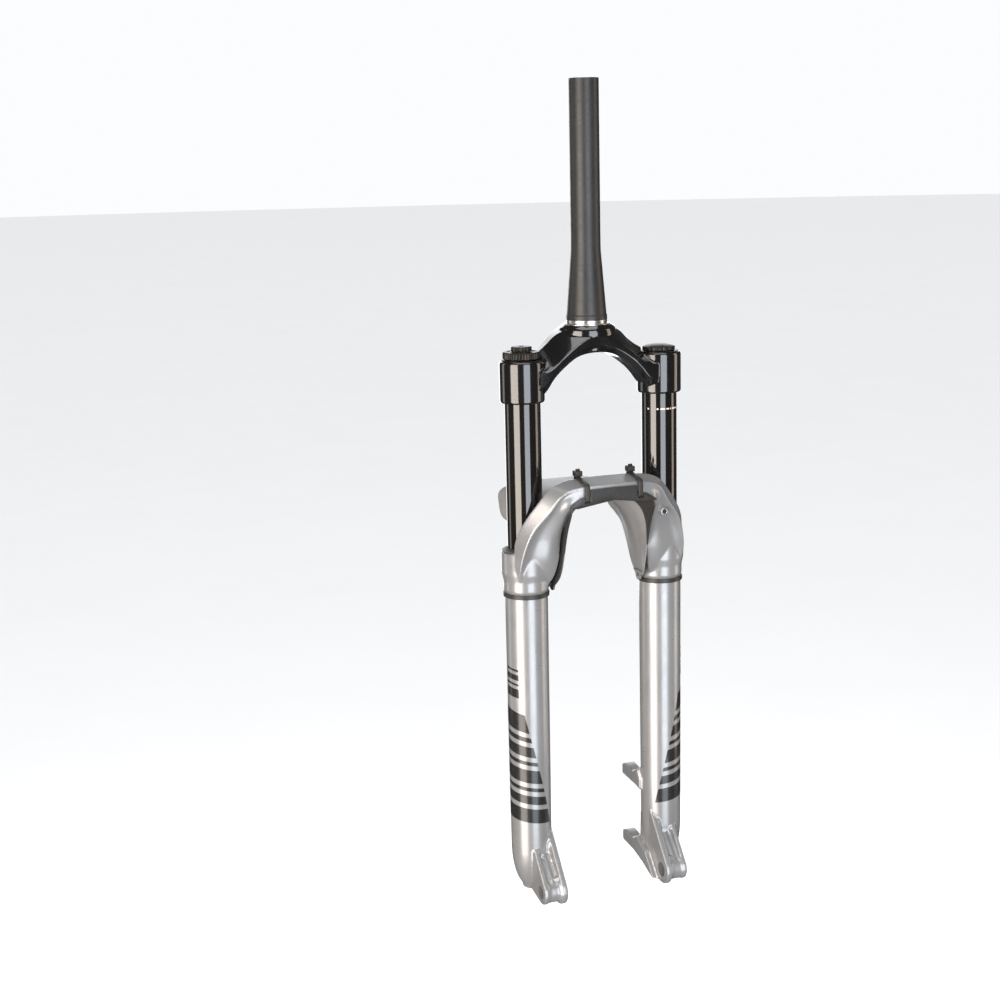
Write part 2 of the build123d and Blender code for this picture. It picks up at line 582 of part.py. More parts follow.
# --- Shafts and pistons that ride with the legs ---------------------------------------------------
SHAFT_BOTTOM = LEG_FLOOR_TOP + 0.1
SHAFT_COLLAR_R = 8.0
SHAFT_COLLAR_TOP = -530.5
BOLT_R = 4.0
BOLT_TOP = -526.0
BOLT_HEAD_R = 6.5
BOLT_HEAD_BOTTOM = -560.2
WASHER_THICKNESS = 1.2
DAMPER_SHAFT_TOP = -309.0
AIR_SHAFT_TOP = -336.0

damper_shaft = turned([
    (BOLT_R + STATIC, SHAFT_BOTTOM), (SHAFT_COLLAR_R, SHAFT_BOTTOM), (SHAFT_COLLAR_R, SHAFT_COLLAR_TOP),
    (SHAFT_R, SHAFT_COLLAR_TOP), (SHAFT_R, DAMPER_SHAFT_TOP - 12),
    (SHAFT_NECK_R, DAMPER_SHAFT_TOP - 12), (SHAFT_NECK_R, DAMPER_SHAFT_TOP),
    (ADJUSTER_R + RUNNING, DAMPER_SHAFT_TOP),
    (ADJUSTER_R + RUNNING, BOLT_TOP + 1), (BOLT_R + STATIC, BOLT_TOP + 1),
], DAMPER_X, LEG_Y)
damper_shaft.part.label = "damper_shaft"
export_step(damper_shaft.part, "parts/damper_shaft.step")

# Piston with a ring of oil ports.
with BuildPart() as rebound_piston:
    with Locations((DAMPER_X, LEG_Y, DAMPER_SHAFT_TOP - 12)):
        Cylinder(CARTRIDGE_BORE_R - RUNNING, 10, align=(Align.CENTER, Align.CENTER, Align.MIN))
        Cylinder(
            SHAFT_NECK_R + STATIC, 10, align=(Align.CENTER, Align.CENTER, Align.MIN), mode=Mode.SUBTRACT)
        with PolarLocations(8.3, 8):
            Cylinder(
                1.6, 10, align=(Align.CENTER, Align.CENTER, Align.MIN), mode=Mode.SUBTRACT)
rebound_piston.part.label = "rebound_piston"
export_step(rebound_piston.part, "parts/rebound_piston.step")

# Rebound adjuster: a rod up through the hollow bolt and shaft, with a key socket in its lower end.
with BuildPart() as rebound_adjuster:
    with BuildSketch(upright_plane(DAMPER_X, LEG_Y)):
        with BuildLine():
            Polyline(
                (0, ADJUSTER_BOTTOM), (ADJUSTER_R, ADJUSTER_BOTTOM),
                (ADJUSTER_R, DAMPER_SHAFT_TOP - 9), (0.8, DAMPER_SHAFT_TOP - 4),
                (0, DAMPER_SHAFT_TOP - 4), close=True,
            )
        make_face()
    revolve(axis=Axis((DAMPER_X, LEG_Y, 0), (0, 0, 1)))
    with BuildSketch(Plane.XY.offset(ADJUSTER_BOTTOM)):
        with Locations((DAMPER_X, LEG_Y)):
            RegularPolygon(1.45, 6)
    extrude(amount=3, mode=Mode.SUBTRACT)
rebound_adjuster.part.label = "rebound_adjuster"
export_step(rebound_adjuster.part, "parts/rebound_adjuster.step")

air_shaft = turned([
    (0, SHAFT_COLLAR_TOP), (BOLT_R + STATIC, SHAFT_COLLAR_TOP), (BOLT_R + STATIC, SHAFT_BOTTOM),
    (SHAFT_COLLAR_R, SHAFT_BOTTOM), (SHAFT_COLLAR_R, SHAFT_COLLAR_TOP), (SHAFT_R, SHAFT_COLLAR_TOP),
    (SHAFT_R, AIR_SHAFT_TOP - 14), (SHAFT_NECK_R, AIR_SHAFT_TOP - 14), (SHAFT_NECK_R, AIR_SHAFT_TOP),
    (0, AIR_SHAFT_TOP),
], AIR_X, LEG_Y)
air_shaft.part.label = "air_shaft"
export_step(air_shaft.part, "parts/air_shaft.step")

air_piston = turned([
    (SHAFT_NECK_R + STATIC, AIR_SHAFT_TOP - 14), (STANCHION_BORE_R - RUNNING, AIR_SHAFT_TOP - 14),
    (STANCHION_BORE_R - RUNNING, AIR_SHAFT_TOP - 9), (13.6, AIR_SHAFT_TOP - 9),
    (13.6, AIR_SHAFT_TOP - 6), (STANCHION_BORE_R - RUNNING, AIR_SHAFT_TOP - 6),
    (STANCHION_BORE_R - RUNNING, AIR_SHAFT_TOP), (SHAFT_NECK_R + STATIC, AIR_SHAFT_TOP),
], AIR_X, LEG_Y)
air_piston.part.label = "air_piston"
export_step(air_piston.part, "parts/air_piston.step")

piston_ring = turned(
    ring(13.63, STANCHION_BORE_R - RUNNING, AIR_SHAFT_TOP - 8.9, AIR_SHAFT_TOP - 6.1), AIR_X, LEG_Y)
piston_ring.part.label = "piston_ring"
export_step(piston_ring.part, "parts/piston_ring.step")

top_out_bumper = turned([
    (SHAFT_R + RUNNING, -360.4), (9.0, -360.4), (10.0, -357), (8.6, -354), (9.6, -350.4),
    (SHAFT_R + RUNNING, -350.4),
], AIR_X, LEG_Y)
top_out_bumper.part.label = "top_out_bumper"
export_step(top_out_bumper.part, "parts/top_out_bumper.step")

bottom_out_bumper = turned([
    (SHAFT_R + RUNNING, SHAFT_COLLAR_TOP + 0.1), (12.0, SHAFT_COLLAR_TOP + 0.1), (12.0, -527),
    (10.6, -525), (11.6, -522.5), (SHAFT_R + RUNNING, -522.5),
], AIR_X, LEG_Y)
bottom_out_bumper.part.label = "bottom_out_bumper"
export_step(bottom_out_bumper.part, "parts/bottom_out_bumper.step")

foot_bolt_drive = turned([
    (ADJUSTER_R + RUNNING, BOLT_HEAD_BOTTOM), (BOLT_HEAD_R - 0.8, BOLT_HEAD_BOTTOM),
    (BOLT_HEAD_R, BOLT_HEAD_BOTTOM + 0.8), (BOLT_HEAD_R, BOLT_SEAT_Z - WASHER_THICKNESS),
    (BOLT_R, BOLT_SEAT_Z - WASHER_THICKNESS), (BOLT_R, BOLT_TOP), (ADJUSTER_R + RUNNING, BOLT_TOP),
], DAMPER_X, LEG_Y)
foot_bolt_drive.part.label = "foot_bolt_drive"
export_step(foot_bolt_drive.part, "parts/foot_bolt_drive.step")

with BuildPart() as foot_bolt_disc:
    with BuildSketch(upright_plane(AIR_X, LEG_Y)):
        with BuildLine():
            Polyline(
                (0, BOLT_HEAD_BOTTOM), (BOLT_HEAD_R - 0.8, BOLT_HEAD_BOTTOM),
                (BOLT_HEAD_R, BOLT_HEAD_BOTTOM + 0.8), (BOLT_HEAD_R, BOLT_SEAT_Z - WASHER_THICKNESS),
                (BOLT_R, BOLT_SEAT_Z - WASHER_THICKNESS), (BOLT_R, SHAFT_COLLAR_TOP - 0.5),
                (0, SHAFT_COLLAR_TOP - 0.5), close=True,
            )
        make_face()
    revolve(axis=Axis((AIR_X, LEG_Y, 0), (0, 0, 1)))
    with BuildSketch(Plane.XY.offset(BOLT_HEAD_BOTTOM)):
        with Locations((AIR_X, LEG_Y)):
            RegularPolygon(2.9, 6)
    extrude(amount=3.5, mode=Mode.SUBTRACT)
foot_bolt_disc.part.label = "foot_bolt_disc"
export_step(foot_bolt_disc.part, "parts/foot_bolt_disc.step")

with BuildPart() as crush_washers:
    for sign in SIDES.values():
        with Locations((sign * LEG_X, LEG_Y, BOLT_SEAT_Z - WASHER_THICKNESS)):
            Cylinder(6.9, WASHER_THICKNESS, align=(Align.CENTER, Align.CENTER, Align.MIN))
            Cylinder(
                BOLT_R + 0.1, WASHER_THICKNESS, align=(Align.CENTER, Align.CENTER, Align.MIN),
                mode=Mode.SUBTRACT,
            )
crush_washers.part.label = "crush_washers"
export_step(crush_washers.part, "parts/crush_washers.step")

# --- Fender and its ties --------------------------------------------------------------------------
FENDER_THICKNESS = 1.5
# Fender sections from front to rear: Y, half width, height of the lower edge, height of the crest and
# the exponent of the superellipse between them.
FENDER = [
    (-57.4, 43.4, -176.0, -164.0, 3.4),
    (-46.0, 43.6, -198.0, -164.4, 3.4),
    (-33.0, 44.4, -238.0, -167.0, 2.8),
    (-22.0, 47.2, -253.0, -169.5, 2.4),
    (-12.0, 48.0, -256.5, -170.6, 2.2),
    (-2.0, 48.6, -253.0, -170.8, 2.2),
    (10.0, 49.6, -243.0, -170.8, 2.2),
    (24.0, 51.6, -226.0, -170.5, 2.3),
    (44.0, 55.5, -212.0, -170.0, 2.5),
    (68.0, 58.5, -206.0, -170.5, 2.8),
    (97.0, 60.0, -203.0, -172.0, 3.4),
]
FENDER_POINTS = 12
# Lug below each flank, with the hole that the leg tie holds it by.
FENDER_LUG_X = 46.4
FENDER_LUG_HOLE = (-14.0, -254.0)
FENDER_LUG_R = 5.6
FENDER_LUG_HOLE_R = 2.1
# Front lip over the arch's front face: half of its outline as (X, Z), from the middle of its top.
FENDER_LIP_Y = -57.4
FENDER_LIP = [(0, -153), (24.5, -153.5), (25.2, -160), (35, -161.5), (46, -169), (38, -171), (0, -165.5)]
ARCH_TIE_X = 28.0
ARCH_TIE_REAR_Y = -32.6
TIE_WIDTH = 4.6
TIE_THICKNESS = 1.2
ARCH_TIE_LOOP = [(ARCH_TIE_REAR_Y, -144.0), (-59.0, -149.0), (-59.0, -169.4), (ARCH_TIE_REAR_Y, -181.5)]
ARCH_TIE_HEAD = (-36.0, -143.6)
TIE_HEAD_SIZE = (7.4, 7.6, 5.6)
LEG_TIE_R = 21.5
LEG_TIE_Z = -262.2


def fender_arc(half_width, low, crest, exponent):
    """Points along one skin of the fender, from its -X edge over the crest to its +X edge."""
    points = []
    for step in range(FENDER_POINTS + 1):
        angle = pi * (1 - step / FENDER_POINTS)
        across = abs(cos(angle)) ** (2 / exponent) * (1 if angle < pi / 2 else -1)
        up = abs(sin(angle)) ** (2 / exponent)
        points.append((half_width * across, low + (crest - low) * up))
    return points


with BuildPart() as fender:
    for y, half_width, low, crest, exponent in FENDER:
        with BuildSketch(Plane(origin=(0, y, 0), x_dir=(1, 0, 0), z_dir=(0, -1, 0))):
            with BuildLine():
                outer = Spline(*fender_arc(half_width, low, crest, exponent))
                inner = Spline(*fender_arc(
                    half_width - FENDER_THICKNESS, low, crest - FENDER_THICKNESS, exponent))
                Line(outer @ 0, inner @ 0)
                Line(inner @ 1, outer @ 1)
            make_face()
    loft()
    # Front lip.
    with BuildSketch(Plane(origin=(0, FENDER_LIP_Y, 0), x_dir=(1, 0, 0), z_dir=(0, -1, 0))):
        with BuildLine():
            Polyline(*FENDER_LIP, *[(-x, z) for x, z in FENDER_LIP[-2:0:-1]], close=True)
        make_face()
    extrude(amount=FENDER_THICKNESS)
    # Slots that the two arch ties pass through.
    for sign in SIDES.values():
        with Locations((sign * ARCH_TIE_X, ARCH_TIE_REAR_Y + TIE_THICKNESS / 2, -176.0)):
            Box(TIE_WIDTH + 1.4, TIE_THICKNESS + 1.6, 24, mode=Mode.SUBTRACT)
        with BuildSketch(side_plane(sign * FENDER_LUG_X)):
            with Locations(FENDER_LUG_HOLE):
                Circle(FENDER_LUG_R)
            with BuildLine():
                Polyline((-25, -240), (-19.6, -254), (-8.4, -254), (-2, -240), close=True)
            make_face()
            with Locations(FENDER_LUG_HOLE):
                Circle(FENDER_LUG_HOLE_R, mode=Mode.SUBTRACT)
        extrude(amount=sign * FENDER_THICKNESS)
fender.part.label = "fender"
export_step(fender.part, "parts/fender.step")

for side, sign in SIDES.items():
    # Loop round the arch and the fender's front strip, with its ratchet head behind the crest.
    with BuildPart() as arch_tie:
        with BuildSketch(side_plane(sign * ARCH_TIE_X - TIE_WIDTH / 2)):
            with BuildLine():
                Polyline(*ARCH_TIE_LOOP, close=True)
            make_face()
            offset(amount=TIE_THICKNESS)
            with BuildLine():
                Polyline(*ARCH_TIE_LOOP, close=True)
            make_face(mode=Mode.SUBTRACT)
        extrude(amount=TIE_WIDTH)
        with Locations((sign * ARCH_TIE_X, *ARCH_TIE_HEAD)):
            Box(*TIE_HEAD_SIZE, align=(Align.CENTER, Align.CENTER, Align.MIN))
    arch_tie.part.label = f"arch_tie_{side}"
    export_step(arch_tie.part, f"parts/arch_tie_{side}.step")

    # Loop round the leg under its shoulder, with the head on the rear.
    with BuildPart() as leg_tie:
        with Locations((sign * LEG_X, LEG_Y, LEG_TIE_Z)):
            Cylinder(LEG_TIE_R + TIE_THICKNESS, 4.0, align=(Align.CENTER, Align.CENTER, Align.MIN))
        with Locations((sign * LEG_X, LEG_Y + LEG_TIE_R + 2.6, LEG_TIE_Z - 1.4)):
            Box(7.0, 5.2, 6.8, align=(Align.CENTER, Align.CENTER, Align.MIN))
        with Locations((sign * LEG_X, LEG_Y, LEG_TIE_Z - 2)):
            Cylinder(
                LEG_TIE_R, 12.0, align=(Align.CENTER, Align.CENTER, Align.MIN), mode=Mode.SUBTRACT)
    leg_tie.part.label = f"leg_tie_{side}"
    export_step(leg_tie.part, f"parts/leg_tie_{side}.step")
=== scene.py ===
import json
from math import cos, pi, radians, sin

import bmesh
import bpy
import numpy as np
from mathutils import Matrix, Vector


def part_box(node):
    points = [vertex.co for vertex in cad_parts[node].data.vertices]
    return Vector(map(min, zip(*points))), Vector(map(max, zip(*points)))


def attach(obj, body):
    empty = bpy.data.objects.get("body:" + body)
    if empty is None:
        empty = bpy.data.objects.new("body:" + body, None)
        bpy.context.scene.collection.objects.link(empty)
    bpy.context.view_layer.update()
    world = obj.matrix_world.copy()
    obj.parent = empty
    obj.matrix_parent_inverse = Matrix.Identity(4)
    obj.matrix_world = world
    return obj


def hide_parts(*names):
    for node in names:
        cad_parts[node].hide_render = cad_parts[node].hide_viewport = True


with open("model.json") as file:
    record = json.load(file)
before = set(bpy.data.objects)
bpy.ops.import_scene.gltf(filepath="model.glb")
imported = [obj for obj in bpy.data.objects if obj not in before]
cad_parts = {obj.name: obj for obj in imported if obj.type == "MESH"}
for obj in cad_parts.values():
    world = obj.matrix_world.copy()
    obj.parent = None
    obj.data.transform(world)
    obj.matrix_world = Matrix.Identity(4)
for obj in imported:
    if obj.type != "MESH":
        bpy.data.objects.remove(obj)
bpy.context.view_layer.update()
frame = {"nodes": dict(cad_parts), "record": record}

# Suspension fork: the visible skins, graphics, materials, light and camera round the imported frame.
# Shapes are written in millimetres, as the frame's own drawing is, and scaled to metres when made.
# -X is the drive side, +X the disc-brake side, -Y the front and +Z up the steerer.
MM = 0.001
SIDES = {"drive": -1, "disc": 1}


# --- Sizes read from the frame --------------------------------------------------------------------
def corners(node):
    """Lowest and highest corner of a CAD node, in millimetres."""
    return [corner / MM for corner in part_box(node)]


def mount_row(name):
    """One of the record's mounts, as the record states it."""
    return next(m for m in frame["record"]["mounts"] if m["name"] == name)


def mount(name):
    """Place of one of the record's mounts, in millimetres."""
    return Vector(mount_row(name)["pos_m"]) / MM


STANCHION_LOW, STANCHION_HIGH = corners("stanchion_disc")
LEG_X = (STANCHION_LOW.x + STANCHION_HIGH.x) / 2
LEG_Y = (STANCHION_LOW.y + STANCHION_HIGH.y) / 2
STANCHION_R = (STANCHION_HIGH.x - STANCHION_LOW.x) / 2
STEERER_LOW, STEERER_HIGH = corners("steerer_tube")
RACE_SEAT_R = STEERER_HIGH.x
CROWN_LOW, CROWN_HIGH = corners("crown")
COLLAR_R = CROWN_HIGH.x - LEG_X
AXLE = mount("axle_bore_disc")
HUB_HALF = mount("hub_face_disc").x
POST_MOUNT = mount("post_mount")
POST_MOUNT_SPACING = mount_row("post_mount")["dims"]["spacing_y_mm"]
HOSE_HOLE = mount("hose_guide_hole")
WIPER_HIGH = corners("wiper_seal_disc")[1]
DIAL_LOW, DIAL_HIGH = corners("high_speed_dial")
KNOB_LOW, KNOB_HIGH = corners("low_speed_knob")
CAP_LOW, CAP_HIGH = corners("air_valve_cap")


# --- Mesh helpers ---------------------------------------------------------------------------------
def rounded(outline, radius, steps=3, turned=True):
    """Closed outline of 2-D points with each corner turned into a small arc. In a turned outline the
    corners on the axis stay sharp."""
    points = []
    for index, corner in enumerate(outline):
        corner = Vector(corner)
        before = Vector(outline[index - 1]) - corner
        after = Vector(outline[(index + 1) % len(outline)]) - corner
        reach = min(radius, 0.45 * before.length, 0.45 * after.length)
        if (turned and corner.x < 1e-6) or reach < 1e-3:
            points.append(tuple(corner))
            continue
        start = corner + before.normalized() * reach
        end = corner + after.normalized() * reach
        for step in range(steps + 1):
            t = step / steps
            points.append(tuple(start * (1 - t) ** 2 + corner * 2 * t * (1 - t) + end * t ** 2))
    return points


def smooth_rows(rows, steps):
    """Smooth curve through rows of numbers, with this many steps from each row to the next."""
    rows = np.array(rows, float)
    padded = np.vstack([2 * rows[0] - rows[1], rows, 2 * rows[-1] - rows[-2]])
    out = []
    for index in range(len(rows) - 1):
        a, b, c, d = padded[index:index + 4]
        for step in range(steps):
            t = step / steps
            out.append(0.5 * (2 * b + (c - a) * t + (2 * a - 5 * b + 4 * c - d) * t ** 2
                              + (3 * b - a - 3 * c + d) * t ** 3))
    out.append(rows[-1])
    return np.array(out)


def spun(outline, x, y, segments=128, flute=None):
    """Points and faces of a closed (radius, height) outline spun about the upright axis at (x, y)."""
    points = []
    faces = []
    count = len(outline)
    for turn in range(segments):
        angle = 2 * pi * turn / segments
        for radius, height in outline:
            if flute:
                radius = flute(radius, height, angle)
            points.append((x + radius * cos(angle), y + radius * sin(angle), height))
        here = turn * count
        there = (turn + 1) % segments * count
        for i in range(count):
            j = (i + 1) % count
            faces.append((here + i, there + i, there + j, here + j))
    return points, faces


def skinned(rings, capped=True):
    """Points and faces of a skin over rings of equal length. Without caps the last ring joins the
    first."""
    points = [tuple(point) for ring in rings for point in ring]
    count = len(rings[0])
    faces = []
    for row in range(len(rings) - 1 if capped else len(rings)):
        here = row * count
        there = (row + 1) % len(rings) * count
        for i in range(count):
            j = (i + 1) % count
            faces.append((here + i, there + i, there + j, here + j))
    if capped:
        faces.append(tuple(range(count)))
        faces.append(tuple(reversed(range((len(rings) - 1) * count, len(rings) * count))))
    return points, faces


def prism(outline, low, high):
    """Points and faces of a flat (Y, Z) outline carried along X from low to high."""
    return skinned([[(x, y, z) for y, z in outline] for x in (low, high)])


def arc(centre, radius, start, end, steps):
    """Points on a circle in the plane, from one angle to another, in degrees."""
    turns = [radians(start + (end - start) * step / steps) for step in range(steps + 1)]
    return [(centre[0] + radius * cos(turn), centre[1] + radius * sin(turn)) for turn in turns]


def mesh_from(name, shells):
    """One mesh, in metres, from shells of (points, faces), each closed and turned to face outward."""
    build = bmesh.new()
    for points, faces in shells:
        verts = [build.verts.new(Vector(point) * MM) for point in points]
        for face in faces:
            build.faces.new([verts[index] for index in face])
    bmesh.ops.remove_doubles(build, verts=build.verts, dist=1e-8)
    bmesh.ops.dissolve_degenerate(build, edges=build.edges, dist=1e-8)
    bmesh.ops.recalc_face_normals(build, faces=build.faces)
    mesh = bpy.data.meshes.new(name)
    build.to_mesh(mesh)
    build.free()
    return mesh


def link(name, mesh):
    """A new object with that mesh, in the scene."""
    thing = bpy.data.objects.new(name, mesh)
    bpy.context.scene.collection.objects.link(thing)
    return thing


def apply_modifiers(thing):
    """Replaces the object's mesh with what its modifiers make of it."""
    evaluated = thing.evaluated_get(bpy.context.evaluated_depsgraph_get())
    mesh = bpy.data.meshes.new_from_object(evaluated)
    thing.modifiers.clear()
    thing.data = mesh


def modify(thing, kind, **settings):
    """Adds one modifier and applies it."""
    modifier = thing.modifiers.new(kind.lower(), kind)
    for key, value in settings.items():
        setattr(modifier, key, value)
    apply_modifiers(thing)


def cut(thing, *shells, operation="DIFFERENCE"):
    """Takes closed shells out of the object, or joins them to it."""
    for shell in shells:
        tool = link("tool", mesh_from("tool", [shell]))
        modify(thing, "BOOLEAN", operation=operation, object=tool, solver="MANIFOLD")
        bpy.data.objects.remove(tool)


def cast(name, shells, grain, fillet, softening):
    """One skin round overlapping closed shells, with filled inner corners and softened edges."""
    thing = link(name, mesh_from(name, shells))
    modify(thing, "REMESH", mode="VOXEL", voxel_size=grain * MM)
    for offset in (fillet, -fillet):
        modify(thing, "DISPLACE", strength=offset * MM, mid_level=0.0)
        modify(thing, "REMESH", mode="VOXEL", voxel_size=grain * MM)
    modify(thing, "SMOOTH", factor=0.5, iterations=softening)
    return thing


def true_up(thing, x, y, low, high, radius_at, slack):
    """Moves points that lie nearly on an upright turned surface exactly onto it."""
    count = len(thing.data.vertices)
    points = np.zeros(count * 3)
    thing.data.vertices.foreach_get("co", points)
    points = points.reshape(-1, 3)
    east = points[:, 0] - x * MM
    north = points[:, 1] - y * MM
    radius = np.hypot(east, north)
    wanted = radius_at(points[:, 2] / MM) * MM
    near = (points[:, 2] > low * MM) & (points[:, 2] < high * MM) & (abs(radius - wanted) < slack * MM)
    scale = np.where(near, wanted / np.maximum(radius, 1e-6), 1.0)
    points[:, 0] = x * MM + east * scale
    points[:, 1] = y * MM + north * scale
    thing.data.vertices.foreach_set("co", points.ravel())
    thing.data.update()


def finish_piece(thing, look, body, nodes=(), crease=40):
    """Shades a piece smooth up to its creases, gives it its materials and body, and hides the CAD nodes
    it stands for.
    """
    thing.data.shade_smooth()
    thing.data.set_sharp_from_angle(angle=radians(crease))
    thing.data.materials.clear()
    for material in look if isinstance(look, (list, tuple)) else [look]:
        thing.data.materials.append(material)
    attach(thing, body)
    if nodes:
        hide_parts(*nodes)
    return thing


def turned_piece(name, outline, x, y, look, body, nodes=(), edge=0.4, segments=128, flute=None):
    """A finished turned piece with softened corners."""
    shell = spun(rounded(outline, edge), x, y, segments, flute)
    thing = link(name, mesh_from(name, [shell]))
    return finish_piece(thing, look, body, nodes, crease=34)


# --- Materials ------------------------------------------------------------------------------------
class Look:
    """A material in the making: its nodes, its shader and short ways to add patterns."""

    def __init__(self, name, **constants):
        self.material = bpy.data.materials.new(name)
        self.material.use_nodes = True
        self.tree = self.material.node_tree
        self.shader = self.tree.nodes["Principled BSDF"]
        for key, value in constants.items():
            self.shader.inputs[key.replace("_", " ")].default_value = value

    def add(self, kind, links, **settings):
        """A new node, its settings made and its sockets linked or set."""
        node = self.tree.nodes.new(kind)
        for key, value in settings.items():
            setattr(node, key, value)
        for socket, value in links.items():
            if isinstance(value, bpy.types.NodeSocket):
                self.tree.links.new(value, node.inputs[socket])
            else:
                node.inputs[socket].default_value = value
        return node

    def place(self, stretch=(1, 1, 1)):
        """Position on the piece itself, stretched."""
        coords = self.add("ShaderNodeTexCoord", {})
        mapping = self.add("ShaderNodeMapping", {"Vector": coords.outputs["Object"], "Scale": stretch})
        return mapping.outputs["Vector"]

    def noise(self, scale, detail=3.0, stretch=(1, 1, 1), roughness=0.5):
        node = self.add("ShaderNodeTexNoise", {
            "Vector": self.place(stretch), "Scale": scale, "Detail": detail, "Roughness": roughness})
        return node.outputs["Fac"]

    def cells(self, scale):
        """Brightness of small random cells."""
        node = self.add("ShaderNodeTexVoronoi", {"Vector": self.place(), "Scale": scale})
        return self.add("ShaderNodeSeparateColor", {"Color": node.outputs["Color"]}).outputs["Red"]

    def spread(self, source, low, high, start, end):
        """The source's low to high, laid over start to end."""
        node = self.add("ShaderNodeMapRange", {
            "Value": source, "From Min": low, "From Max": high, "To Min": start, "To Max": end})
        return node.outputs["Result"]

    def blend(self, factor, first, second):
        node = self.add("ShaderNodeMix", {0: factor, 6: first, 7: second}, data_type="RGBA")
        return node.outputs[2]

    def sum(self, first, second):
        return self.add("ShaderNodeMath", {0: first, 1: second}, operation="ADD").outputs[0]

    def bump(self, height, depth, below=None):
        """A bump of this depth in millimetres, on top of another one if it is given."""
        links = {"Height": height, "Distance": depth * MM, "Strength": 1.0}
        if below:
            links["Normal"] = below
        return self.add("ShaderNodeBump", links).outputs["Normal"]

    def paint(self, colour=None, roughness=None, normal=None):
        for socket, source in (("Base Color", colour), ("Roughness", roughness), ("Normal", normal)):
            if source is not None:
                self.tree.links.new(source, self.shader.inputs[socket])
        return self.material


def grey(value, warmth=0.0):
    """A grey, warmer above zero and cooler below."""
    return (value * (1 + warmth), value, value * (1 - warmth), 1.0)


def silver_paint():
    """Metallic silver lacquer over cast magnesium."""
    look = Look("cast_silver", Metallic=0.55, Coat_Weight=0.5, Coat_Roughness=0.10)
    flake = look.cells(2600.0)
    cloud = look.noise(22.0, 4.0)
    tone = look.sum(look.spread(flake, 0, 1, -0.22, 0.22), look.spread(cloud, 0.3, 0.7, 0.25, 0.75))
    colour = look.blend(tone, grey(0.25, -0.012), grey(0.32, 0.006))
    roughness = look.spread(look.noise(60.0, 5.0), 0.3, 0.7, 0.27, 0.35)
    peel = look.bump(look.noise(420.0, 2.0), 0.010)
    return look.paint(colour, roughness, look.bump(flake, 0.003, below=peel))


def gloss_black():
    """Thick gloss black lacquer of the crown."""
    look = Look("crown_gloss", Metallic=0.0, Coat_Weight=1.0, Coat_Roughness=0.03, IOR=1.6)
    colour = look.blend(look.noise(35.0, 3.0), grey(0.003), grey(0.006, 0.05))
    dust = look.noise(900.0, 6.0, roughness=0.7)
    roughness = look.spread(dust, 0.35, 0.75, 0.09, 0.2)
    return look.paint(colour, roughness, look.bump(look.noise(260.0, 2.0), 0.006))


def stanchion_black():
    """Hard black anodising with an oil film and hair-fine honing marks."""
    look = Look("stanchion_black", Metallic=0.0, Coat_Weight=0.6, Coat_Roughness=0.03, IOR=1.7)
    colour = look.blend(look.noise(40.0, 3.0, (1, 1, 0.2)), grey(0.003, 0.1), grey(0.006, 0.15))
    honing = look.noise(1500.0, 3.0, (1, 1, 0.03))
    roughness = look.spread(honing, 0.3, 0.7, 0.05, 0.12)
    return look.paint(colour, roughness, look.bump(honing, 0.0015))


def satin_black():
    """Satin black anodising over fine turning marks."""
    look = Look("steerer_alloy", Metallic=0.35, IOR=1.6)
    turning = look.noise(700.0, 4.0, (0.04, 0.04, 1))
    colour = look.blend(look.noise(30.0, 5.0), grey(0.016, 0.02), grey(0.032, 0.05))
    roughness = look.spread(turning, 0.3, 0.7, 0.33, 0.46)
    return look.paint(colour, roughness, look.bump(turning, 0.006))


def bare_alloy():
    """Freshly machined aluminium with turning marks."""
    look = Look("bare_alloy", Metallic=1.0)
    turning = look.noise(1800.0, 3.0, (0.05, 0.05, 1))
    colour = look.blend(look.noise(90.0, 3.0), grey(0.66, 0.01), grey(0.80, 0.005))
    roughness = look.spread(turning, 0.3, 0.7, 0.2, 0.34)
    return look.paint(colour, roughness, look.bump(turning, 0.008))


def dial_black():
    """Black anodised aluminium of the dials, a little worn to brown."""
    look = Look("black_anodised", Metallic=0.6)
    colour = look.blend(look.noise(160.0, 5.0), grey(0.008, 0.08), grey(0.026, 0.2))
    roughness = look.spread(look.noise(500.0, 4.0), 0.3, 0.7, 0.26, 0.42)
    return look.paint(colour, roughness, look.bump(look.noise(1400.0, 3.0), 0.008))


def steel(name, tone, warmth, rough):
    """Plated or hardened steel, brass or other solid metal."""
    look = Look(name, Metallic=1.0)
    colour = look.blend(look.noise(120.0, 5.0), grey(tone, warmth), grey(tone * 1.3, warmth * 0.8))
    roughness = look.spread(look.noise(700.0, 4.0), 0.3, 0.7, rough, rough + 0.14)
    return look.paint(colour, roughness, look.bump(look.noise(1600.0, 3.0), 0.006))


def moulded(name, first, second, rough, grain_scale=900.0, depth=0.012, sheen=0.0):
    """Moulded plastic, rubber or foam with a fine grain."""
    look = Look(name, Metallic=0.0, Sheen_Weight=sheen)
    colour = look.blend(look.noise(45.0, 5.0), first, second)
    grain = look.noise(grain_scale, 4.0)
    roughness = look.spread(grain, 0.3, 0.7, rough, rough + 0.12)
    return look.paint(colour, roughness, look.bump(grain, depth))


def graphic_ink():
    """Black foil graphics under the legs' lacquer."""
    look = Look("graphic_ink", Metallic=0.0, Coat_Weight=0.5, Coat_Roughness=0.12)
    colour = look.blend(look.noise(300.0, 4.0), grey(0.006), grey(0.016))
    roughness = look.spread(look.noise(700.0, 3.0), 0.3, 0.7, 0.26, 0.38)
    return look.paint(colour, roughness, look.bump(look.noise(420.0, 2.0), 0.006))


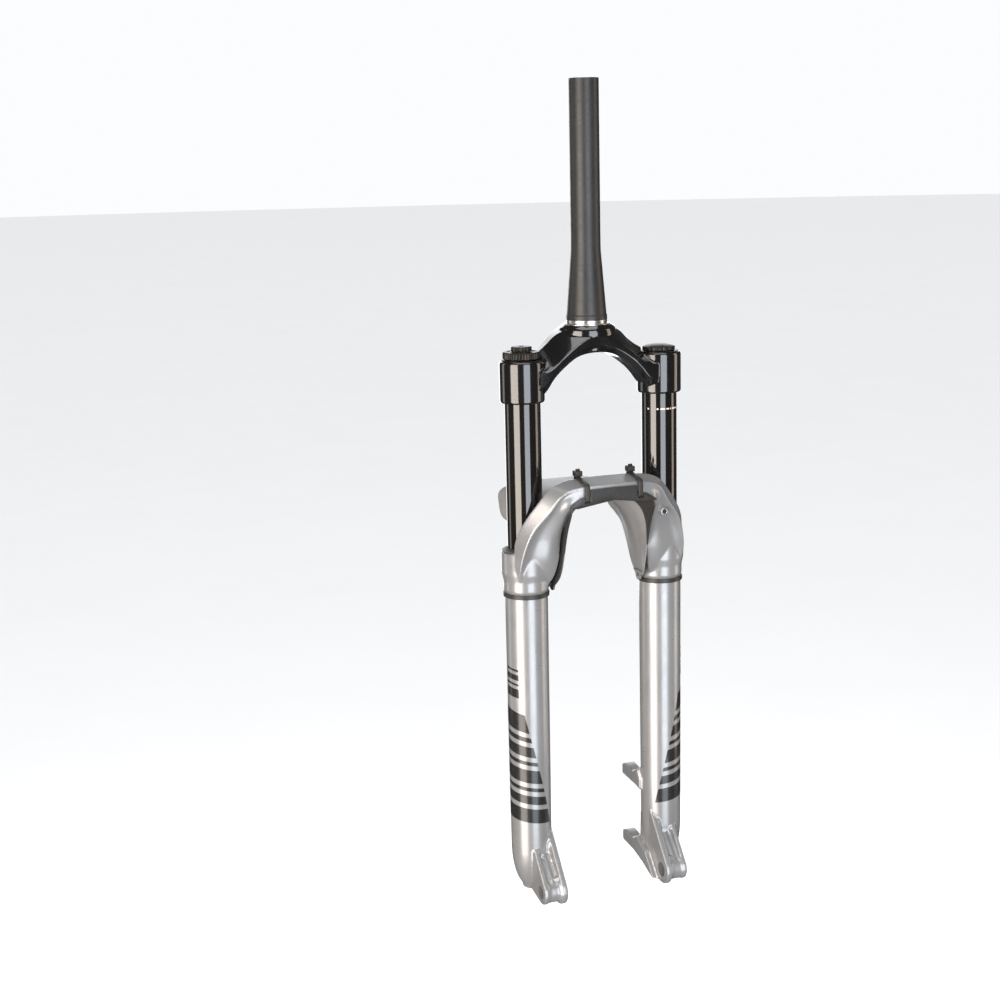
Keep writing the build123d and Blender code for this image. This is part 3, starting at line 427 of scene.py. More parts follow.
silver = silver_paint()
crown_black = gloss_black()
tube_black = stanchion_black()
steerer_black = satin_black()
alloy = bare_alloy()
dial = dial_black()
ink = graphic_ink()
pale_ink = moulded("graphic_pale", grey(0.42, 0.1), grey(0.55, 0.12), 0.3)
rubber = moulded("seal_rubber", grey(0.010), grey(0.022, 0.05), 0.42, 1300.0, 0.01, sheen=0.2)
nylon = moulded("tie_nylon", grey(0.012, 0.12), grey(0.024, 0.2), 0.34, 1100.0, 0.012)
# Painted sheen: the fender's plastic is black, and this grey stands in for the light its broad faces
# catch.
fender_painted_sheen = moulded("fender_plastic", grey(0.13, 0.03), grey(0.17, 0.02), 0.36, 1500.0, 0.01)
fender_black = moulded("fender_edge", grey(0.014, 0.05), grey(0.028, 0.08), 0.24, 1500.0, 0.008)

SLOT_LOOKS = {
    "steerer_alloy": steerer_black,
    "crown_gloss": crown_black,
    "stanchion_black": tube_black,
    "cast_silver": silver,
    "black_anodised": dial,
    "bare_alloy": alloy,
    "steel": steel("steel", 0.42, 0.01, 0.22),
    "spring_steel": steel("spring_steel", 0.22, -0.02, 0.26),
    "brass": steel("brass", 0.5, 0.35, 0.2),
    "seal_rubber": rubber,
    "foam": moulded("foam", grey(0.05, 0.1), grey(0.11, 0.15), 0.85, 500.0, 0.25),
    "fender_plastic": fender_painted_sheen,
    "tie_nylon": nylon,
    "bushing_liner": moulded("bushing_liner", grey(0.14, 0.3), grey(0.22, 0.3), 0.5),
    "spacer_plastic": moulded("spacer_plastic", grey(0.03), grey(0.05), 0.4),
}


def repaint_frame():
    """Gives each CAD node that stays its slot's material."""
    for part in frame["record"]["subparts"]:
        node = frame["nodes"][part["node"]]
        node.data.materials.clear()
        node.data.materials.append(SLOT_LOOKS[part["material_slot"]])


# --- Steerer and crown ----------------------------------------------------------------------------
TAPER_TOP = 76.0
STEERER_R = 14.3
STEERER_BORE_R = 12.1
STEERER_WIDE_BORE_R = 16.0
BORE_TAPER = (8.0, 90.0)
PRESS_R = 19.5
BARE_SEAT_TOP = 3.4


def steerer():
    """Tapered tube: black outside, bare at the cut rim, in the bore and on the race seat."""
    top = STEERER_HIGH.z
    bore_radii = (STEERER_WIDE_BORE_R, STEERER_BORE_R)
    outline = [
        (STEERER_BORE_R, top), (STEERER_R, top), (STEERER_R, TAPER_TOP + 6),
        (STEERER_R + 0.12, TAPER_TOP - 6), (19.25, 9.6), (19.25, 8.6), (RACE_SEAT_R, 7.5),
        (RACE_SEAT_R, BARE_SEAT_TOP), (RACE_SEAT_R, 0), (PRESS_R, 0), (PRESS_R, STEERER_LOW.z),
        (STEERER_WIDE_BORE_R, STEERER_LOW.z), *zip(bore_radii, BORE_TAPER),
    ]
    thing = link("steerer_skin", mesh_from("steerer_skin", [spun(rounded(outline, 0.5), 0, 0, 160)]))
    finish_piece(thing, [steerer_black, alloy], "upper_assembly", ["steerer_tube"], 34)
    for face in thing.data.polygons:
        centre = face.center / MM
        bore = np.interp(centre.z, BORE_TAPER, bore_radii)
        if centre.z > top - 0.3 or centre.xy.length < bore + 0.35 or centre.z < BARE_SEAT_TOP - 0.3:
            face.material_index = 1


# Sections of the crown arm, each at its distance from the middle. An outline runs in (Y, Z) from the
# top rear edge over the top front edge, the front ridge, the lower ridge, the underside's two edges
# and back up the rear.
CROWN_ARM = [
    (0, [(18, -2.5), (-13, -2.5), (-28.5, -11), (-28.5, -20), (-23, -27), (12, -27), (24, -14)]),
    (12, [(17, -2.7), (-12.5, -2.7), (-28.7, -13), (-28.7, -22), (-23, -28), (11, -28), (22, -15)]),
    (22, [(16, -3.8), (-10, -3.8), (-28.8, -18), (-28.8, -26), (-22.5, -31.5), (8, -31.5), (20, -17)]),
    (34, [(12, -9.5), (-4, -9.5), (-29, -26.5), (-29, -34), (-22.5, -40), (2, -40), (14, -24)]),
    (44, [(11, -18.5), (-2, -18.5), (-29.4, -35), (-29.2, -43), (-22.5, -49.5), (0, -49.5), (11, -32)]),
    (54, [(9, -25.5), (-4, -25.5), (-29.4, -41), (-29.2, -54), (-23, -62), (0, -62), (9, -42)]),
    (66, [(6, -29.5), (-12, -29.5), (-29.2, -42), (-29, -60), (-26, -67), (4, -67), (8, -44)]),
]
COLLAR_TOP = -31.0
SHELF_R = 23.3


def mirrored(table):
    """The half table with its other half in front of it, places on the drive side negative."""
    return [(-row[0], *row[1:]) for row in table[:0:-1]] + list(table)


def along_edges(outline, steps):
    """The closed outline with this many steps on each of its edges."""
    points = []
    for index, start in enumerate(outline):
        end = outline[(index + 1) % len(outline)]
        for step in range(steps):
            t = step / steps
            points.append((start[0] * (1 - t) + end[0] * t, start[1] * (1 - t) + end[1] * t))
    return points


def crown():
    """Forged crown: bevelled arms, boss and collars in one skin, then its machined bores."""
    rows = smooth_rows([[x, *np.ravel(outline)] for x, outline in mirrored(CROWN_ARM)], 8)
    rings = []
    for row in rows:
        outline = along_edges([tuple(point) for point in row[1:].reshape(-1, 2)], 5)
        rings.append([(row[0], y, z) for y, z in outline])
    boss = [(0, -0.6), (SHELF_R, -0.6), (24.0, -1.1), (27.6, -4.0), (28.8, -8.5), (27.5, -26), (0, -26)]
    collar = [
        (0, COLLAR_TOP), (COLLAR_R - 2.2, COLLAR_TOP), (COLLAR_R - 0.6, COLLAR_TOP - 0.9),
        (COLLAR_R, COLLAR_TOP - 3), (COLLAR_R, CROWN_LOW.z + 1.6), (COLLAR_R - 1.2, CROWN_LOW.z),
        (0, CROWN_LOW.z),
    ]
    shells = [skinned(rings), spun(rounded(boss, 1.5), 0, 0)]
    shells += [spun(rounded(collar, 0.8), side * LEG_X, LEG_Y) for side in SIDES.values()]
    grain = 0.55
    thing = cast("crown_skin", shells, grain, 1.8, 4)
    for side in SIDES.values():
        true_up(
            thing, side * LEG_X, LEG_Y, CROWN_LOW.z + 2, COLLAR_TOP - 3.5, lambda z: COLLAR_R, 0.25)
    seat = [(0, -60), (PRESS_R, -60), (PRESS_R, -2.4), (SHELF_R, -2.4), (SHELF_R, 20), (0, 20)]
    cut(thing, spun(seat, 0, 0))
    bore = [
        (0, CROWN_LOW.z - 5), (STANCHION_R + 0.5, CROWN_LOW.z - 5), (STANCHION_R, CROWN_LOW.z + 0.5),
        (STANCHION_R, COLLAR_TOP - 0.4), (20.2, COLLAR_TOP - 0.4), (20.2, COLLAR_TOP + 12),
        (0, COLLAR_TOP + 12),
    ]
    for side in SIDES.values():
        cut(thing, spun(bore, side * LEG_X, LEG_Y))
    finish_piece(thing, crown_black, "upper_assembly", ["crown"], 50)
    shelf = [(PRESS_R, -2.4), (SHELF_R, -2.4), (SHELF_R, -0.4), (SHELF_R - 0.5, 0), (PRESS_R + 0.1, 0)]
    turned_piece("crown_race_shelf", shelf, 0, 0, alloy, "upper_assembly", ["crown"], 0.15)


def stanchions():
    """Polished tubes with a small chamfer at the lower end."""
    for side, sign in SIDES.items():
        outline = [
            (15.2, STANCHION_LOW.z), (16.7, STANCHION_LOW.z), (STANCHION_R, STANCHION_LOW.z + 1.2),
            (STANCHION_R, STANCHION_HIGH.z), (15.2, STANCHION_HIGH.z),
        ]
        turned_piece(
            f"stanchion_{side}_skin", outline, sign * LEG_X, LEG_Y, tube_black, "upper_assembly",
            [f"stanchion_{side}"], 0.3, 192)


# --- Dials and caps on top ------------------------------------------------------------------------
DIAL_FLUTES = 44
KNOB_FLUTES = 20
CAP_NOTCHES = 16
DIAL_POST_R = 7.0
HEX_SOCKET_R = 2.6
VALVE_ROOM_R = 4.1
VALVE_ROOM_TOP = -26.2


def fluting(outer, count, depth, power=1.0):
    """Rule that presses rounded flutes into whatever lies near the outer radius."""
    def flute(radius, height, angle):
        near = max(0.0, 1 - (outer - radius) / 1.6)
        return radius - depth * near * (0.5 - 0.5 * cos(count * angle)) ** power
    return flute


def dials():
    """Knurled compression dials, and the domed valve cap on the other side."""
    dial_r = (DIAL_HIGH.x - DIAL_LOW.x) / 2
    low, high = DIAL_LOW.z, DIAL_HIGH.z
    outline = [
        (DIAL_POST_R + 0.1, low), (dial_r - 0.9, low), (dial_r, low + 0.9), (dial_r, high - 1.1),
        (dial_r - 1.0, high - 0.1), (dial_r - 3.6, high), (dial_r - 4.2, high - 0.6),
        (11.2, high - 0.6), (10.8, high), (DIAL_POST_R + 0.1, high),
    ]
    turned_piece(
        "high_speed_dial_skin", outline, -LEG_X, LEG_Y, dial, "high_speed_dial", ["high_speed_dial"],
        0.3, DIAL_FLUTES * 10, fluting(dial_r, DIAL_FLUTES, 0.75, 0.7))
    knob_r = (KNOB_HIGH.x - KNOB_LOW.x) / 2
    low, high = KNOB_LOW.z, KNOB_HIGH.z
    outline = [
        (0, low), (knob_r, low), (knob_r, high - 0.8), (knob_r - 0.8, high),
        (HEX_SOCKET_R + 0.5, high), (HEX_SOCKET_R, high - 0.5), (HEX_SOCKET_R, high - 2.2),
        (0, high - 2.2),
    ]
    turned_piece(
        "low_speed_knob_skin", outline, -LEG_X, LEG_Y, dial, "low_speed_knob", ["low_speed_knob"],
        0.25, KNOB_FLUTES * 12, fluting(knob_r, KNOB_FLUTES, 0.6, 0.7))
    cap_r = (CAP_HIGH.x - CAP_LOW.x) / 2
    dome = [(cap_r * t, CAP_HIGH.z - 2.6 * t ** 2.4) for t in (0.0, 0.3, 0.5, 0.7, 0.85, 0.95, 1.0)]
    outline = dome + [
        (cap_r, CAP_LOW.z + 0.3), (cap_r - 0.3, CAP_LOW.z), (VALVE_ROOM_R, CAP_LOW.z),
        (VALVE_ROOM_R, VALVE_ROOM_TOP), (0, VALVE_ROOM_TOP),
    ]
    turned_piece(
        "air_valve_cap_skin", outline, LEG_X, LEG_Y, dial, "air_valve_cap", ["air_valve_cap"],
        0.3, CAP_NOTCHES * 16, fluting(cap_r, CAP_NOTCHES, 1.1, 3.0))


def top_caps():
    """Flanges of the two top caps, with the lugs a socket turns them by."""
    def castellated(radius, height, angle):
        if radius > 18.5 and height > COLLAR_TOP + 0.1:
            return radius - 0.5 * (cos(8 * angle) > 0.3)
        return radius
    low = corners("air_top_cap")[0].z
    caps = (("drive", DIAL_POST_R, "damper_top_cap"), ("disc", 4.0, "air_top_cap"))
    for side, inner, node in caps:
        top = corners(node)[1].z
        outline = [
            (inner - 1.5, low), (15.1, low), (15.1, STANCHION_HIGH.z), (17.4, STANCHION_HIGH.z),
            (17.4, COLLAR_TOP), (19.6, COLLAR_TOP), (19.6, COLLAR_TOP + 0.6), (inner, COLLAR_TOP + 0.6),
            (inner, top), (inner - 1.5, top),
        ]
        turned_piece(
            f"top_cap_{side}_skin", outline, SIDES[side] * LEG_X, LEG_Y, dial, "upper_assembly",
            [node], 0.12, 160, castellated)


# --- Lower legs casting ---------------------------------------------------------------------------
# Sections of the arch and its shoulders: place (x, z), lean in degrees from flat out to straight up,
# the four corners as (outward, Y) - outer rear edge, front ridge, front inner edge, rear inner edge -
# and how deep the front face is scooped below the ridge.
ARCH = [
    (0.0, -163.0, 90, [(18.5, -33.5), (13.0, -57), (1.5, -56), (1.5, -33.5)], 0.0),
    (25.0, -164.0, 84, [(19.0, -34), (13.5, -56.5), (1.5, -56), (1.5, -33.5)], 0.3),
    (41.0, -171.0, 58, [(25.0, -38), (17.0, -54.5), (1.0, -54), (1.0, -33.5)], 1.4),
    (46.0, -186.0, 34, [(32.0, -35), (20.5, -49.5), (-1.5, -41.5), (2.5, -32.5)], 2.4),
    (48.0, -205.0, 16, [(41.5, -28), (32.5, -42.5), (-2.5, -34), (3.0, -31.5)], 2.6),
    (50.0, -226.0, 5, [(43.0, -18), (37.5, -35.5), (-3.0, -32), (3.0, -18)], 1.8),
    (51.5, -244.0, 0, [(41.5, -14), (35.5, -28), (0.0, -27.5), (2.0, -13)], 0.8),
    (54.0, -259.0, 0, [(34.0, -9), (30.0, -18), (6.0, -18), (4.0, -9)], 0.0),
]
ARCH_STEPS = 8
SEAL_TOP = WIPER_HIGH.z - 3.6
LEG_TOP_R = 24.0
SHOULDER_R = 22.2
SHOULDER_Z = -255.5
LEG_R_TOP = 21.1
LEG_R_BOTTOM = 20.3
LEG_ROUND_Z = -522.0
FOOT_Z = -568.0
FOOT_R = 9.5
LEG_BORE_R = 18.6
PAD_R = 14.6
PAD_THICKNESS = 5.5
BARREL_R = 12.5
BARREL_END = 79.0
BOSS_R = 6.6
BOSS_HALF_WIDTH = 6.0
AXLE_BORE_R = 7.5
AXLE_THREAD_R = 6.8
BRAKE_HOLE_R = 2.5
HOSE_HOLE_R = 2.1
HOSE_SEAT_R = 4.4
INNER_RIB = (66.2, 69.2)
OUTER_RIB_X = 74.6
# Heights of the brake bosses, lower one first, and the lower edge of each one's gusset in (Y, Z).
BOSS_HEIGHTS = [POST_MOUNT.z + sign * POST_MOUNT_SPACING / 2 for sign in (-1, 1)]
BOSS_GUSSETS = (
    [(7, -558.5), (-14, -564), (-26, -569), (-40, -573.5), (-20, -550), (-2, -540)],
    [(0, -484), (-8, -486), (-8, -475)],
)


def leg_radius(z):
    """Radius of the leg's long taper at this height."""
    return LEG_R_TOP + (LEG_R_BOTTOM - LEG_R_TOP) * (SHOULDER_Z - z) / (SHOULDER_Z - LEG_ROUND_Z)


def arch_section(row, wall=0.0):
    """One ring of the arch's skin in space, or of its hollow if a wall is given."""
    x, z, lean = row[:3]
    rear_out, ridge, front_in, rear_in = [Vector(pair) for pair in row[3:11].reshape(4, 2)]
    scoop = row[11]
    if wall:
        rear_out = rear_out + Vector((-wall * 1.2, 12))
        rear_in = rear_in + Vector((wall, 12))
        ridge = ridge + Vector((-wall * 1.1, wall * 2.2))
        front_in = front_in + Vector((wall, wall * 2.2))
        scoop = 0.0
    face = front_in - ridge
    outward_normal = Vector((face.y, -face.x)).normalized()
    if outward_normal.y > 0:
        outward_normal = -outward_normal
    outline = []
    edges = (
        (rear_out, ridge, 10), (ridge, front_in, 16), (front_in, rear_in, 8), (rear_in, rear_out, 10))
    for start, end, steps in edges:
        for step in range(steps):
            t = step / steps
            point = start.lerp(end, t)
            if start is ridge:
                point = point - outward_normal * scoop * sin(2 * pi * t ** 0.9)
            outline.append(point)
    lean = radians(lean)
    return [(x + cos(lean) * point.x, point.y, z + sin(lean) * point.x) for point in outline]


def arch_rows():
    """The arch's section values from one leg to the other, smoothly filled in."""
    half = [[x, z, lean, *np.ravel(pairs), scoop] for x, z, lean, pairs, scoop in ARCH]
    other = [[-row[0], row[1], 180 - row[2], *row[3:]] for row in half[:0:-1]]
    return smooth_rows(other + half, ARCH_STEPS)


def dropout(side):
    """Shells of one dropout: hub pad, barrel, outer wall and the ribs up to the leg."""
    y, z = AXLE.y, AXLE.z
    web_r = BARREL_R - 1
    pad = arc((y, z), PAD_R, 150, 300, 20) + [(4, -556), (2, -514), (-17, -500)]
    barrel = arc((y, z), BARREL_R, 150, 290, 16) + [(-12, -565), (-8, -515), (-26, -516)]
    rib = arc((y, z), web_r, 150, 290, 16) + [(-12, -560), (-8, -515), (-24, -522)]
    floor = arc((y, z), web_r, 60, 290, 16) + [(-12, -560), (-8, -515), (-22, -515), (-26, -532)]
    pad_end = HUB_HALF + PAD_THICKNESS
    return [
        prism(pad, side * HUB_HALF, side * (pad_end + 0.6)),
        prism(rib, side * INNER_RIB[0], side * INNER_RIB[1]),
        prism(floor, side * (pad_end - 1), side * BARREL_END),
        prism(barrel, side * OUTER_RIB_X, side * BARREL_END),
    ]


def brake_bosses():
    """Shells of the two brake bosses behind the disc-side leg."""
    shells = []
    for height, gusset in zip(BOSS_HEIGHTS, BOSS_GUSSETS):
        end = POST_MOUNT.y - 0.1
        arm = [
            (-2, height + 10), (9, height + 3.4), (20, height + 5.6), (27, height + BOSS_R),
            (end, height + 4.2), (end, height - BOSS_R), *gusset,
        ]
        shells.append(prism(arm, POST_MOUNT.x - BOSS_HALF_WIDTH, POST_MOUNT.x + BOSS_HALF_WIDTH))
    return shells


def drilled(centre, radius, depth, axis):
    """Closed shell of a round hole that starts outside the centre's face and goes down the axis."""
    axis = Vector(axis)
    start = Vector(centre) - axis * 3
    along = axis * (depth + 3)
    first = axis.orthogonal().normalized()
    second = axis.cross(first)
    turns = np.linspace(0, 2 * pi, 65)[:-1]
    ring = [(first * cos(turn) + second * sin(turn)) * radius for turn in turns]
    return skinned([[start + along * t + point for point in ring] for t in (0, 1)])


def machine_legs(thing):
    """Bores, axle holes, brake holes and the hose hole, cut after the casting is made."""
    bore = [
        (0, -120), (23.2, -120), (23.2, SEAL_TOP), (22.0, SEAL_TOP), (22.0, -231), (20.6, -231),
        (20.6, -241), (LEG_BORE_R, -241), (LEG_BORE_R, -524), (9.0, -541), (4.2, -541), (4.2, -553),
        (7.8, -553), (7.8, -575), (0, -575),
    ]
    for side, radius in ((-1, AXLE_THREAD_R), (1, AXLE_BORE_R)):
        cut(thing, spun(bore, side * LEG_X, LEG_Y))
        cut(thing, drilled((side * HUB_HALF, AXLE.y, AXLE.z), radius, 30, (side, 0, 0)))
    for height in BOSS_HEIGHTS:
        cut(thing, drilled((POST_MOUNT.x, POST_MOUNT.y, height), BRAKE_HOLE_R, 20, (0, -1, 0)))
    cut(thing, drilled(HOSE_HOLE, HOSE_SEAT_R, 0.2, (0, 1, 0)))
    cut(thing, drilled(HOSE_HOLE, HOSE_HOLE_R, 9, (0, 1, 0)))


# Pockets behind the arch, as (first, last) step along it to each side of the middle.
ARCH_POCKETS = ((0.18, 0.95), (1.1, 1.75), (1.9, 2.6), (2.75, 3.5))


def arch_pockets():
    """Closed shells of the pockets that lighten the arch from behind, with ribs left between them."""
    rows = arch_rows()
    middle = len(ARCH) - 1
    shells = []
    for first, last in ARCH_POCKETS:
        for sign in SIDES.values():
            ends = sorted((middle + sign * first, middle + sign * last))
            steps = np.linspace(ends[0] * ARCH_STEPS, ends[1] * ARCH_STEPS, 7)
            rings = []
            for step in steps:
                low = int(step)
                share = step - low
                row = rows[low] * (1 - share) + rows[min(low + 1, len(rows) - 1)] * share
                rings.append(arch_section(row, wall=2.6))
            shells.append(skinned(rings))
    return shells


def lower_legs():
    """The one-piece casting of arch, legs and dropouts."""
    shells = [skinned([arch_section(row) for row in arch_rows()])]
    foot = []
    for turn in range(0, 66, 8):
        turn = radians(turn)
        foot.append((LEG_R_BOTTOM * cos(turn) ** 0.8, LEG_ROUND_Z - (LEG_ROUND_Z - FOOT_Z) * sin(turn)))
    tube = [
        (0, SEAL_TOP), (LEG_TOP_R - 0.8, SEAL_TOP), (LEG_TOP_R, SEAL_TOP - 0.8), (LEG_TOP_R, -238),
        (SHOULDER_R, -246), (SHOULDER_R, SHOULDER_Z), (LEG_R_TOP, SHOULDER_Z - 2), *foot,
        (FOOT_R, FOOT_Z), (0, FOOT_Z),
    ]
    for side in SIDES.values():
        shells.append(spun(tube, side * LEG_X, LEG_Y))
        shells += dropout(side)
    shells += brake_bosses()
    grain = 0.85
    thing = cast("lower_casting_skin", shells, grain, 2.0, 3)
    for side in SIDES.values():
        true_up(thing, side * LEG_X, LEG_Y, LEG_ROUND_Z, SHOULDER_Z - 6, leg_radius, 0.45)
    cut(thing, *arch_pockets())
    machine_legs(thing)
    finish_piece(thing, silver, "lower_legs", ["lower_casting"], 50)
    ring = [(HOSE_HOLE_R, -2.0), (3.9, -2.0), (3.9, 1.2), (HOSE_HOLE_R, 1.2)]
    points, faces = spun(rounded(ring, 0.15), 0, 0, 48)
    points = [(HOSE_HOLE.x + a, HOSE_HOLE.y - c, HOSE_HOLE.z + b) for a, b, c in points]
    spot = link("hose_boss_face", mesh_from("hose_boss_face", [(points, faces)]))
    finish_piece(spot, alloy, "lower_legs", ["lower_casting"])


def wipers():
    """Wiper seals: a pressed shell with a lip and a garter spring round it."""
    for side, sign in SIDES.items():
        low = corners(f"wiper_seal_{side}")[0].z
        outline = [
            (STANCHION_R + 0.08, WIPER_HIGH.z - 0.5), (17.9, low + 6), (20.0, low + 4), (20.0, low),
            (21.9, low), (21.9, SEAL_TOP + 0.1), (23.0, SEAL_TOP + 0.1), (23.0, SEAL_TOP + 1.1),
            (20.6, SEAL_TOP + 1.5), (20.2, SEAL_TOP + 2.4), (19.5, SEAL_TOP + 2.0),
            (18.6, WIPER_HIGH.z),
        ]
        turned_piece(
            f"wiper_{side}_skin", outline, sign * LEG_X, LEG_Y, rubber, "lower_legs",
            [f"wiper_seal_{side}"], 0.25)


# --- Graphics -------------------------------------------------------------------------------------
INK_LIFT = 0.14
INK_THICKNESS = 0.18


def patch(side, radius_at, outline, columns=24, rows=6):
    """Closed shell of a thin four-sided patch wrapped on a leg. The outline's corners are (degrees from
    the front, positive outward; height), in order round the patch."""
    a, b, c, d = [Vector(corner) for corner in outline]
    points = []
    for lift in (INK_LIFT, INK_LIFT - INK_THICKNESS):
        for row in range(rows + 1):
            start = a.lerp(d, row / rows)
            end = b.lerp(c, row / rows)
            for column in range(columns + 1):
                turn, height = start.lerp(end, column / columns)
                turn = radians(turn)
                radius = radius_at(height) + lift
                points.append((side * (LEG_X + radius * sin(turn)), LEG_Y - radius * cos(turn), height))
    wide = columns + 1
    layer = wide * (rows + 1)
    faces = []
    for row in range(rows):
        for column in range(columns):
            i = row * wide + column
            faces.append((i, i + 1, i + wide + 1, i + wide))
            faces.append((layer + i, layer + i + wide, layer + i + wide + 1, layer + i + 1))
    rim = list(range(wide))
    rim += [row * wide + columns for row in range(1, rows + 1)]
    rim += [rows * wide + column for column in range(columns - 1, -1, -1)]
    rim += [row * wide for row in range(rows - 1, 0, -1)]
    for i, j in zip(rim, rim[1:] + rim[:1]):
        faces.append((i, layer + i, layer + j, j))
    return points, faces


# Plain slanted bars down the outside of each leg: height of the bar's top and its depth. Each ends
# this many degrees from the front and rises by the slope towards the rear.
BARS = ((-380, 19), (-404, 5), (-414, 11), (-430, 4), (-439, 14), (-458, 4), (-467, 9), (-481, 15))
BAR_REAR = 128.0
BAR_SLOPE = 9.0
BADGE_BARS = ((-334, 2.0), (-339.5, 5.5), (-348.5, 2.0), (-354, 9.0))
# Plain dashes round one stanchion: where each starts and ends, in degrees from the front.
DASHES = ((-66, -60), (-34, -28), (-22, -6), (-2, 8), (12, 15), (20, 36), (41, 45))
DASH_TOP = -86.0
DASH_DEPTH = 1.5


def bar_front(height):
    """Where the bars end in front, in degrees from the front: they reach further round lower down."""
    return 34.0 - 80.0 * (BARS[0][0] - height) / 120.0


def graphics():
    """Generic bars on both legs, a small plain badge above them, and pale dashes on one stanchion."""
    for side, sign in SIDES.items():
        shells = []
        for top, depth in BARS:
            shells.append(patch(sign, leg_radius, [
                (BAR_REAR, top + BAR_SLOPE), (bar_front(top), top),
                (bar_front(top - depth), top - depth), (BAR_REAR, top - depth + BAR_SLOPE)]))
        for top, depth in BADGE_BARS:
            shells.append(patch(sign, leg_radius, [
                (96, top + 2), (50, top), (49, top - depth), (96, top - depth + 2)]))
        bars = link(f"leg_graphic_{side}", mesh_from(f"leg_graphic_{side}", shells))
        finish_piece(bars, ink, "lower_legs", ["lower_casting"])
    dashes = []
    for start, end in DASHES:
        dashes.append(patch(1, lambda z: STANCHION_R, [
            (end, DASH_TOP), (start, DASH_TOP),
            (start, DASH_TOP - DASH_DEPTH), (end, DASH_TOP - DASH_DEPTH)], 8, 1))
    marks = link("stanchion_dashes", mesh_from("stanchion_dashes", dashes))
    finish_piece(marks, pale_ink, "upper_assembly", ["stanchion_disc"])


# --- Fender and ties ------------------------------------------------------------------------------
# Fender sections from front to rear: Y, half width, height of the lower edge, height of the crest and
# the exponent of the superellipse between them.
FENDER = [
    (-57.4, 43.4, -176.0, -165.6, 3.4),
    (-46.0, 43.6, -198.0, -166.2, 3.4),
    (-33.0, 44.4, -238.0, -168.0, 2.8),
    (-22.0, 47.2, -253.0, -169.5, 2.4),
    (-12.0, 48.0, -256.5, -170.6, 2.2),
    (-2.0, 48.6, -253.0, -170.8, 2.2),
    (10.0, 49.6, -243.0, -170.8, 2.2),
    (24.0, 51.6, -226.0, -170.5, 2.3),
    (44.0, 55.5, -212.0, -170.0, 2.5),
    (66.0, 58.5, -206.0, -170.5, 2.8),
    (84.0, 60.0, -201.0, -171.0, 3.0),
    (96.7, 58.0, -186.0, -172.0, 3.4),
]
# Front lip over the arch's front face: its upper and lower edges, as (distance from the middle, height).
LIP_TOP = [(0, -153.0), (24.4, -153.5), (25.2, -160.0), (35.0, -161.5), (46.0, -168.6)]
LIP_BOTTOM = [(0, -165.5), (38.0, -171.0), (46.0, -169.4)]
LIP_Y = -57.5
# The fender is black ahead of the first Y, and on its outer flanks ahead of the second, where the black
# is painted shade beside the painted grey sheen.
FENDER_BLACK_FRONT = -40.0
FENDER_FLANK_SHADE_END = 6.0
FENDER_FLANK_X = 40.0
FENDER_THICKNESS = 1.5
FENDER_COLUMNS = 72
ARCH_TIE_X = 28.0
ARCH_TIE_LOW_Z = -164.6
TIE_WIDTH = 4.6
TIE_THICKNESS = 1.2
LUG_HOLE = (-14.0, -254.0)
LUG_R = 5.6
LUG_HOLE_R = 2.1
ARCH_TIE_HEAD = (-36.0, -140.8)
LEG_TIE_Z = -260.2
LEG_TIE_R = 21.5


def fender():
    """Thin moulded fender, black in front, with a painted grey sheen on its broad faces, a lug and its
    hole on each flank and a front lip.
    """
    rows = smooth_rows(FENDER, 6)
    points = []
    for y, half_width, low, crest, exponent in rows:
        for column in range(FENDER_COLUMNS + 1):
            turn = pi * (1 - column / FENDER_COLUMNS)
            across = abs(cos(turn)) ** (2 / exponent) * (1 if turn < pi / 2 else -1)
            up = abs(sin(turn)) ** (2 / exponent)
            points.append((half_width * across, y, low + (crest - low) * up))
    wide = FENDER_COLUMNS + 1
    faces = []
    for row in range(len(rows) - 1):
        for column in range(FENDER_COLUMNS):
            i = row * wide + column
            faces.append((i, i + 1, i + wide + 1, i + wide))
    mesh = bpy.data.meshes.new("fender_skin")
    mesh.from_pydata([Vector(point) * MM for point in points], [], faces)
    mesh.flip_normals()
    thing = link("fender_skin", mesh)
    modify(thing, "SOLIDIFY", thickness=FENDER_THICKNESS * MM, offset=-1.0, use_even_offset=True)
    modify(thing, "BEVEL", width=0.45 * MM, segments=2, limit_method="ANGLE", angle_limit=radians(55))
    for sign in SIDES.values():
        lug = arc(LUG_HOLE, LUG_R, 180, 360, 20) + [(-3, -250), (-24, -250)]
        cut(thing, prism(lug, sign * 46.4, sign * 47.9), operation="UNION")
        cut(thing, drilled((sign * 46.0, *LUG_HOLE), LUG_HOLE_R, 6, (sign, 0, 0)))
    finish_piece(thing, [fender_painted_sheen, fender_black], "lower_legs", ["fender"], 40)
    # Black in front, and on the outward-facing flank faces as painted shade; the rest keeps the painted
    # grey sheen.
    for face in thing.data.polygons:
        x, y, z = face.center / MM
        flank = abs(x) > FENDER_FLANK_X and face.normal.x * x > 0
        if y < FENDER_BLACK_FRONT or (y < FENDER_FLANK_SHADE_END and flank):
            face.material_index = 1
    fender_lip()


